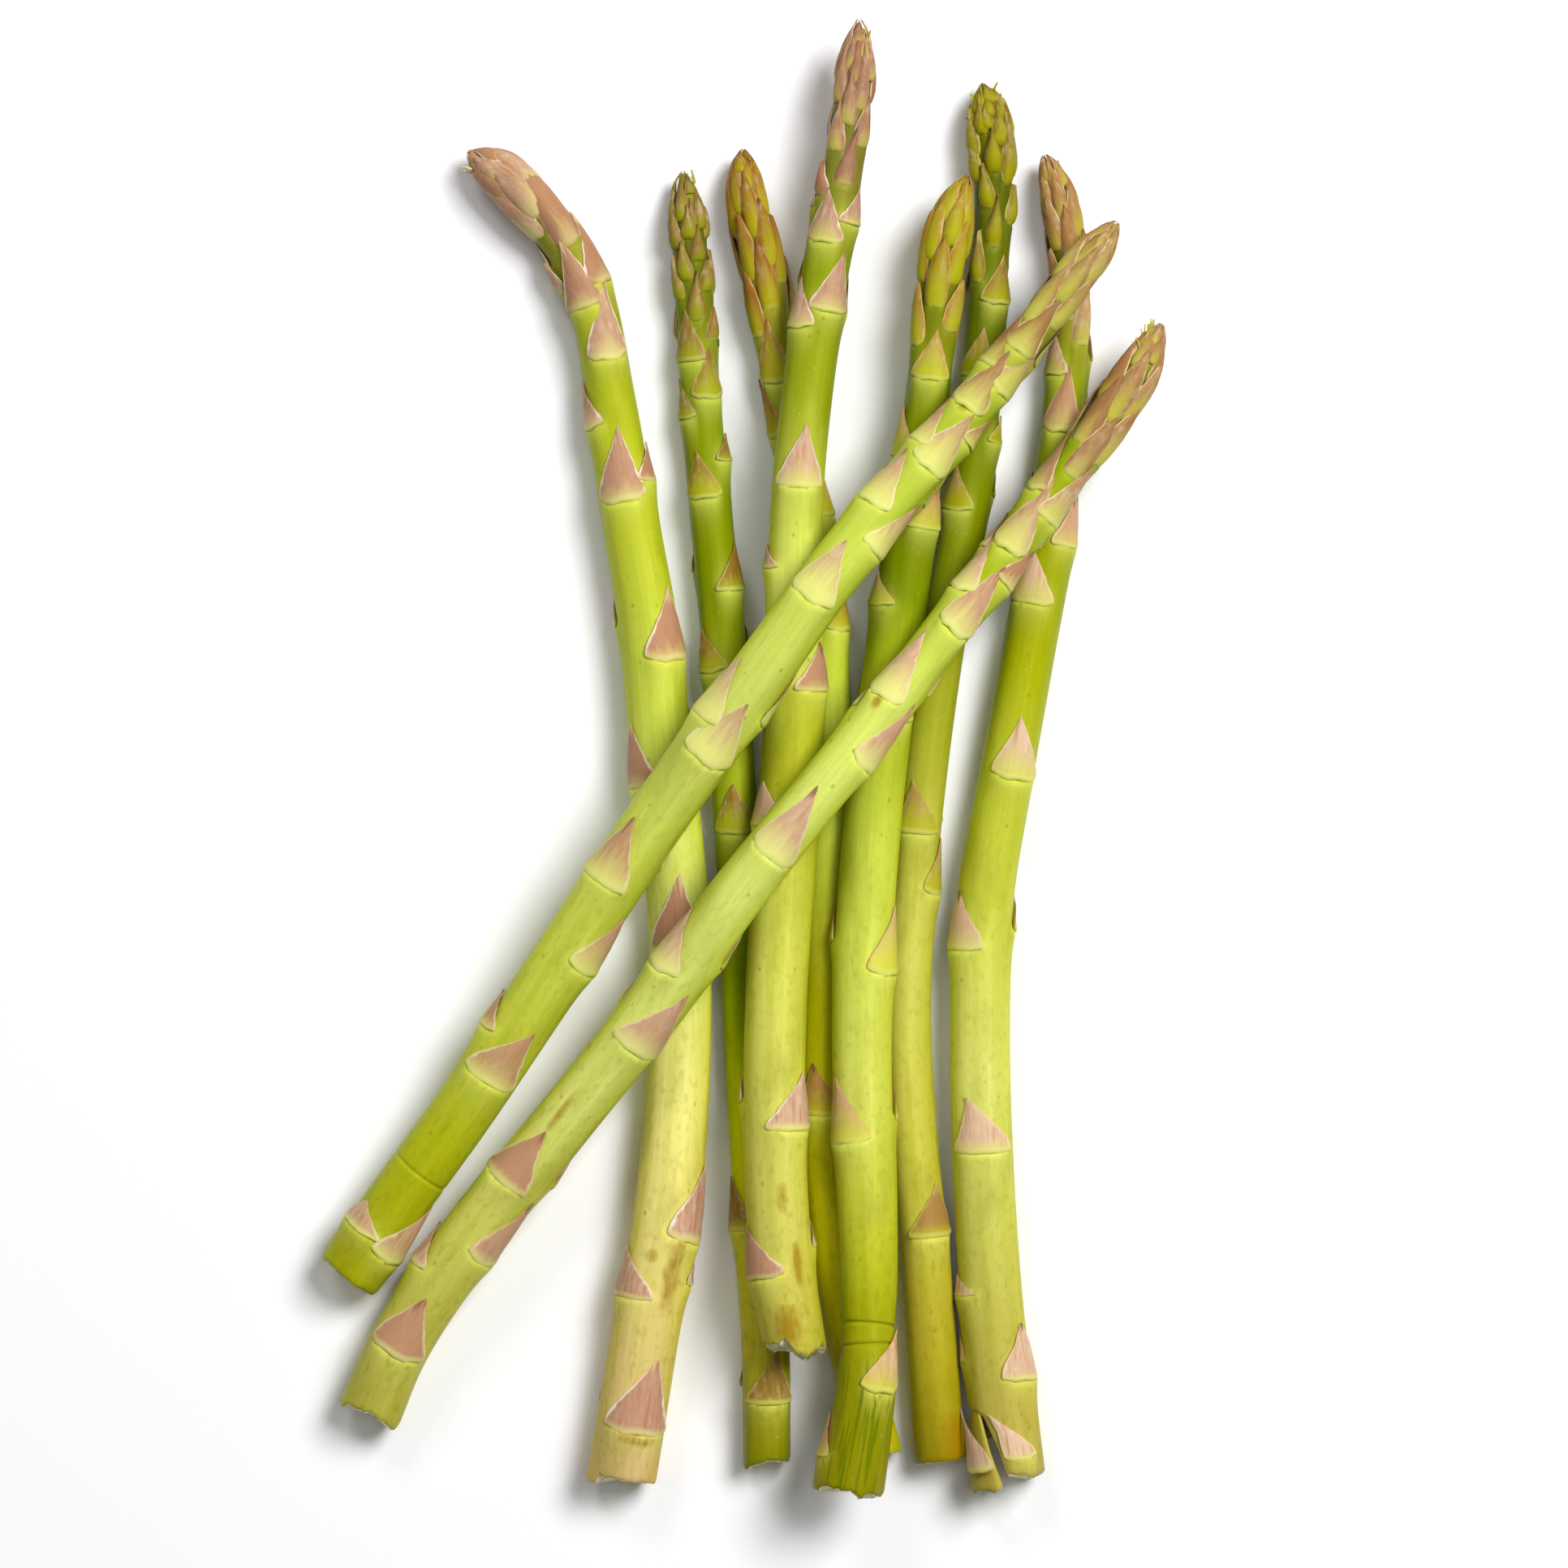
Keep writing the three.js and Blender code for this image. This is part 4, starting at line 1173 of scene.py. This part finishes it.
spear = grow_spear(
    "right",
    "right-hand spear",
    tones=[
        (0, (182, 160, 76)), (0.1, (190, 182, 78)), (0.2, (202, 202, 94)), (0.3, (216, 218, 112)),
        (0.45, (194, 199, 66)), (0.6, (166, 172, 8)), (0.82, (138, 152, 4)), (1, (158, 118, 70)),
    ],
    papery=(
        (216, 204, 112), (214, 180, 148), (184, 174, 46), (166, 125, 74), (226, 204, 156), (132, 92, 60),
        (0.05, 0.5),
    ),
    route=[
        [44.4, -120.2, 5.6, 5.7], [42.8, -107, 5.4, 5.5], [41.1, -90, 5.5, 5.2], [39.8, -70, 5.7, 5.1],
        [39.2, -46, 5.6, 5], [40, -24, 5.4, 4.8], [43.4, -4, 5.1, 4.5], [47, 16, 5, 4.4],
        [50.2, 34, 4.8, 4.2], [52.6, 52, 4.3, 3.6], [54.2, 68, 4.1, 3.1], [54.2, 82, 4.1, 2.8],
        [52.6, 92, 4.2, 2.6], [50.2, 99.9, 4.2, 1.3],
    ],
    scales=[
        [2.9, 21, 8.6, -46, 28], [1.8, -48, 11, -42, 26, 1], [16, 60, 10, 0], [31, -85, 4, 0],
        [54.5, 0, 9.5, -35], [88, -52, 10, -15], [117, 20, 10.8, -12], [146.2, -20, 9.5, -10],
        [156.5, 56, 10, 0], [175.3, -5, 11.5, 5], [184.8, -52, 8, 0],
    ],
    head=[
        [190, 35, 10, 8], [194, -15, 11, 5], [198, -55, 9, 0], [199.5, 45, 10, 0], [203, 5, 11, 0],
        [206, -40, 10, 0], [207.5, 40, 9.5, 0], [211, 0, 9.5, 0],
    ],
    tips=(11, 9, 170),
    seed=17,
    head_kind=LEAF,
    threads=(2, 4, -180, 180),
    split={
        "places": [-1.2, 0.2, 1.7, 5.2, 11, 13.5],
        "main": [-0.3, -0.4, -0.8, -1.5, -3.4, -6.5],
        "sliver": [-1.6, -1.8, -2.2, -3, -3.8, -4.6],
        "stand": [1.3, 1.1, 0.9, 0.6, 0, -0.5],
    },
    butt=([(-1, 0.8), (0.2, 0.5), (0.6, -0.5), (1, 0.6)], 0.5, 1),
)
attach(spear, "root")
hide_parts("spear_right")

# ---------------- the upper crossing spear
# One of the two that lie across the others, from the lower left to the upper right, with many
# scales close together towards its head. It is grown on the same node tree.

spear = grow_spear(
    "upper",
    "upper crossing spear",
    tones=[
        (0, (168, 170, 12)), (0.12, (178, 184, 24)), (0.25, (196, 203, 70)), (0.42, (200, 210, 88)),
        (0.52, (206, 216, 104)), (0.68, (192, 208, 76)), (0.84, (154, 172, 14)), (1, (168, 140, 78)),
    ],
    papery=(
        (228, 224, 130), (200, 166, 124), (188, 180, 74), (163, 129, 75), (232, 220, 164), (150, 112, 76),
        (0.15, 0.7),
    ),
    route=[
        [-66, -86.2, 5.15, 5.4], [-56.6, -72.4, 7.6, 5.2], [-46.4, -58.3, 10, 5.1],
        [-29.6, -32.9, 13.9, 5.1], [-16.2, -12.7, 17, 5], [-4.5, 3.9, 19.6, 4.9], [4.6, 16.5, 21.4, 4.8],
        [13.6, 29.1, 21.4, 4.5], [23.1, 40.9, 19.6, 4.2], [31.6, 50.6, 17.9, 3.9], [39.4, 60, 16.2, 3.5],
        [47, 69.6, 14.6, 3.2], [54, 78.5, 13.5, 2.9], [58.4, 84.3, 12.8, 2.3], [61.5, 88.3, 12.4, 1.3],
    ],
    scales=[
        [8, -42, 5, 0], [6, 62, 12, 15], [40.5, 5, 11.5, 28], [48, -86, 7, 0], [64.5, 62, 12, 0],
        [79, -28, 12.5, -15], [105.2, 12, 12.5, 10], [111, -60, 12, 0], [136.4, -8, 11.5, -4],
        [149, 56, 12, 0], [154.8, -40, 11.5, -10], [165.2, 10, 12.2, 4], [167.8, -66, 10, 0],
        [173, 75, 6, 0], [177.2, -15, 12.5, 4], [182.8, 42, 12, 0], [185.5, -56, 11, 0],
        [190.1, 0, 12, 8],
    ],
    head=[
        [195.2, -35, 13, 8], [197, 45, 11.5, 0], [201, 5, 12.5, 0], [204, -55, 10, 0], [206, 40, 10.5, 0],
        [208, -18, 9.5, 0],
    ],
    tips=(12, 8, 165),
    head_kind=LEAF,
    seed=18,
    butt=([(-1, 0.3), (1, -0.3)], 0.2, 0.6),
    creases=[(21.5, 0.35, 0.18)],
    marks=[(BROWN, 177.5, -15, 1.2, 1)],
)
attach(spear, "root")
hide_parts("spear_crossing_upper")

# ---------------- the lower crossing spear
# The other of the two, below and beside the upper one. Its long scales stand a little open at
# the head, whose tip is loose. It is grown on the same node tree.

spear = grow_spear(
    "lower",
    "lower crossing spear",
    tones=[
        (0, (180, 172, 70)), (0.15, (204, 204, 94)), (0.28, (214, 218, 112)), (0.5, (212, 224, 110)),
        (0.66, (206, 218, 98)), (0.77, (162, 178, 10)), (0.88, (148, 164, 8)), (1, (160, 144, 50)),
    ],
    papery=(
        (228, 222, 136), (206, 168, 134), (192, 180, 70), (166, 128, 80), (232, 212, 160), (146, 104, 74),
        (0.08, 0.48),
    ),
    route=[
        [-62.6, -109.5, 5.1, 5.3], [-57.6, -98.2, 6.4, 5.1], [-46.8, -81.4, 9.2, 5.1],
        [-31.2, -62, 12.8, 5], [-16.4, -43.4, 16.5, 4.9], [-1.7, -23.3, 20.4, 4.6],
        [12.3, -5.8, 21.5, 4.2], [22.6, 6.9, 20.1, 4], [32.8, 20.1, 17.9, 3.7], [43, 33, 15.7, 3.5],
        [51.6, 44.6, 14, 3.4], [59.3, 54.8, 12.8, 3.5], [65.3, 63.8, 11.9, 3], [69, 71.4, 11, 1.2],
    ],
    scales=[
        [11.6, 0, 11.4, 5], [26, -88, 8, 0], [32.5, 66, 14, 0], [46, -26, 11.6, 6], [77, 22, 13.2, 15],
        [90.5, -52, 11.5, -10], [115.8, 5, 14.4, -15], [136.5, 54, 14, 0], [147.5, -30, 14, -12],
        [163.2, 15, 14.5, 6], [169.5, -56, 13, 0], [175, 60, 8, 0], [179.6, -12, 15, -4],
        [187.7, 42, 13, 0], [190.7, -62, 12, 0],
    ],
    head=[
        [196, 10, 13, 5], [200.2, 52, 13, 0], [201.4, -30, 14, 5], [207, 0, 15, 0], [209, 48, 12, 4],
        [210, -55, 12, -4],
    ],
    tips=(13, 9, 150),
    head_kind=LEAF,
    seed=19,
    threads=(20, 6, -120, -30),
    butt=([(-1, -0.2), (0, 0.4), (1, -0.5)], 0.7, 1.2),
    marks=[(BROWN, 61.5, -16, 5, 0.8), (BROWN, 146.7, -24, 1.5, 0.9)],
)
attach(spear, "root")
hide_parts("spear_crossing_lower")

for shape in list(blades.objects):
    bpy.data.objects.remove(shape)
bpy.data.collections.remove(blades)

# ---------------- table, lights and camera
# A plain white table top, lit by one large soft lamp from the far right and three weaker ones
# round it, with a faint light tent over all and a long lens straight above.

TABLE_SIZE = 4.0
TABLE_DROP = 0.00002
LENS = 200
SENSOR = 36
VIEW_WIDTH = 0.2608
VIEW_CENTRE = (0.00655, -0.00452)
LAYER_HEIGHT = 0.008  # the height at which the view has that width


def table_top():
    """The plain table, just under the lowest skin."""
    half = TABLE_SIZE / 2
    corners = [(x * half, y * half, -TABLE_DROP) for x, y in ((-1, -1), (1, -1), (1, 1), (-1, 1))]
    made = mesh_object("table", corners, [(0, 1, 2, 3)])
    paper = bpy.data.materials.new("white table")
    paper.use_nodes = True
    shade(paper, {"Base Color": (0.96, 0.96, 0.98, 1), "Roughness": 0.8, "Specular IOR Level": 0.2})
    made.data.materials.append(paper)
    return made


def soft_light(name, place, size, power):
    """A square lamp that faces the middle of the pile."""
    lamp = bpy.data.lights.new(name, "AREA")
    lamp.shape = "SQUARE"
    lamp.size = size
    lamp.energy = power
    made = shown(name, lamp)
    made.location = place
    away = made.location.normalized()
    made.rotation_euler = away.to_track_quat("Z", "Y").to_euler()
    return made


table_top()

# Watts, and metres from the middle of the pile.
soft_light("key lamp", (0.8, 0.65, 1.4), size=0.75, power=31.5)
soft_light("far lamp", (-0.5, 1.1, 1.2), size=0.5, power=5)
soft_light("top lamp", (0.25, 0.1, 2.0), size=1.2, power=6)
soft_light("fill lamp", (-1.2, 0.3, 0.7), size=0.9, power=1.5)
world = bpy.data.worlds.new("light tent")
bpy.context.scene.world = world
world.use_nodes = True
sky = world.node_tree.nodes["Background"]
sky.inputs["Color"].default_value = (1, 1, 1, 1)
sky.inputs["Strength"].default_value = 0.05
bpy.context.scene.view_settings.view_transform = "Standard"

camera = bpy.data.cameras.new("camera")
camera.lens = LENS
camera.sensor_width = SENSOR
camera.clip_end = 20
seen_from = shown("camera", camera)
seen_from.location = (*VIEW_CENTRE, LAYER_HEIGHT + VIEW_WIDTH * LENS / SENSOR)
bpy.context.scene.camera = seen_from
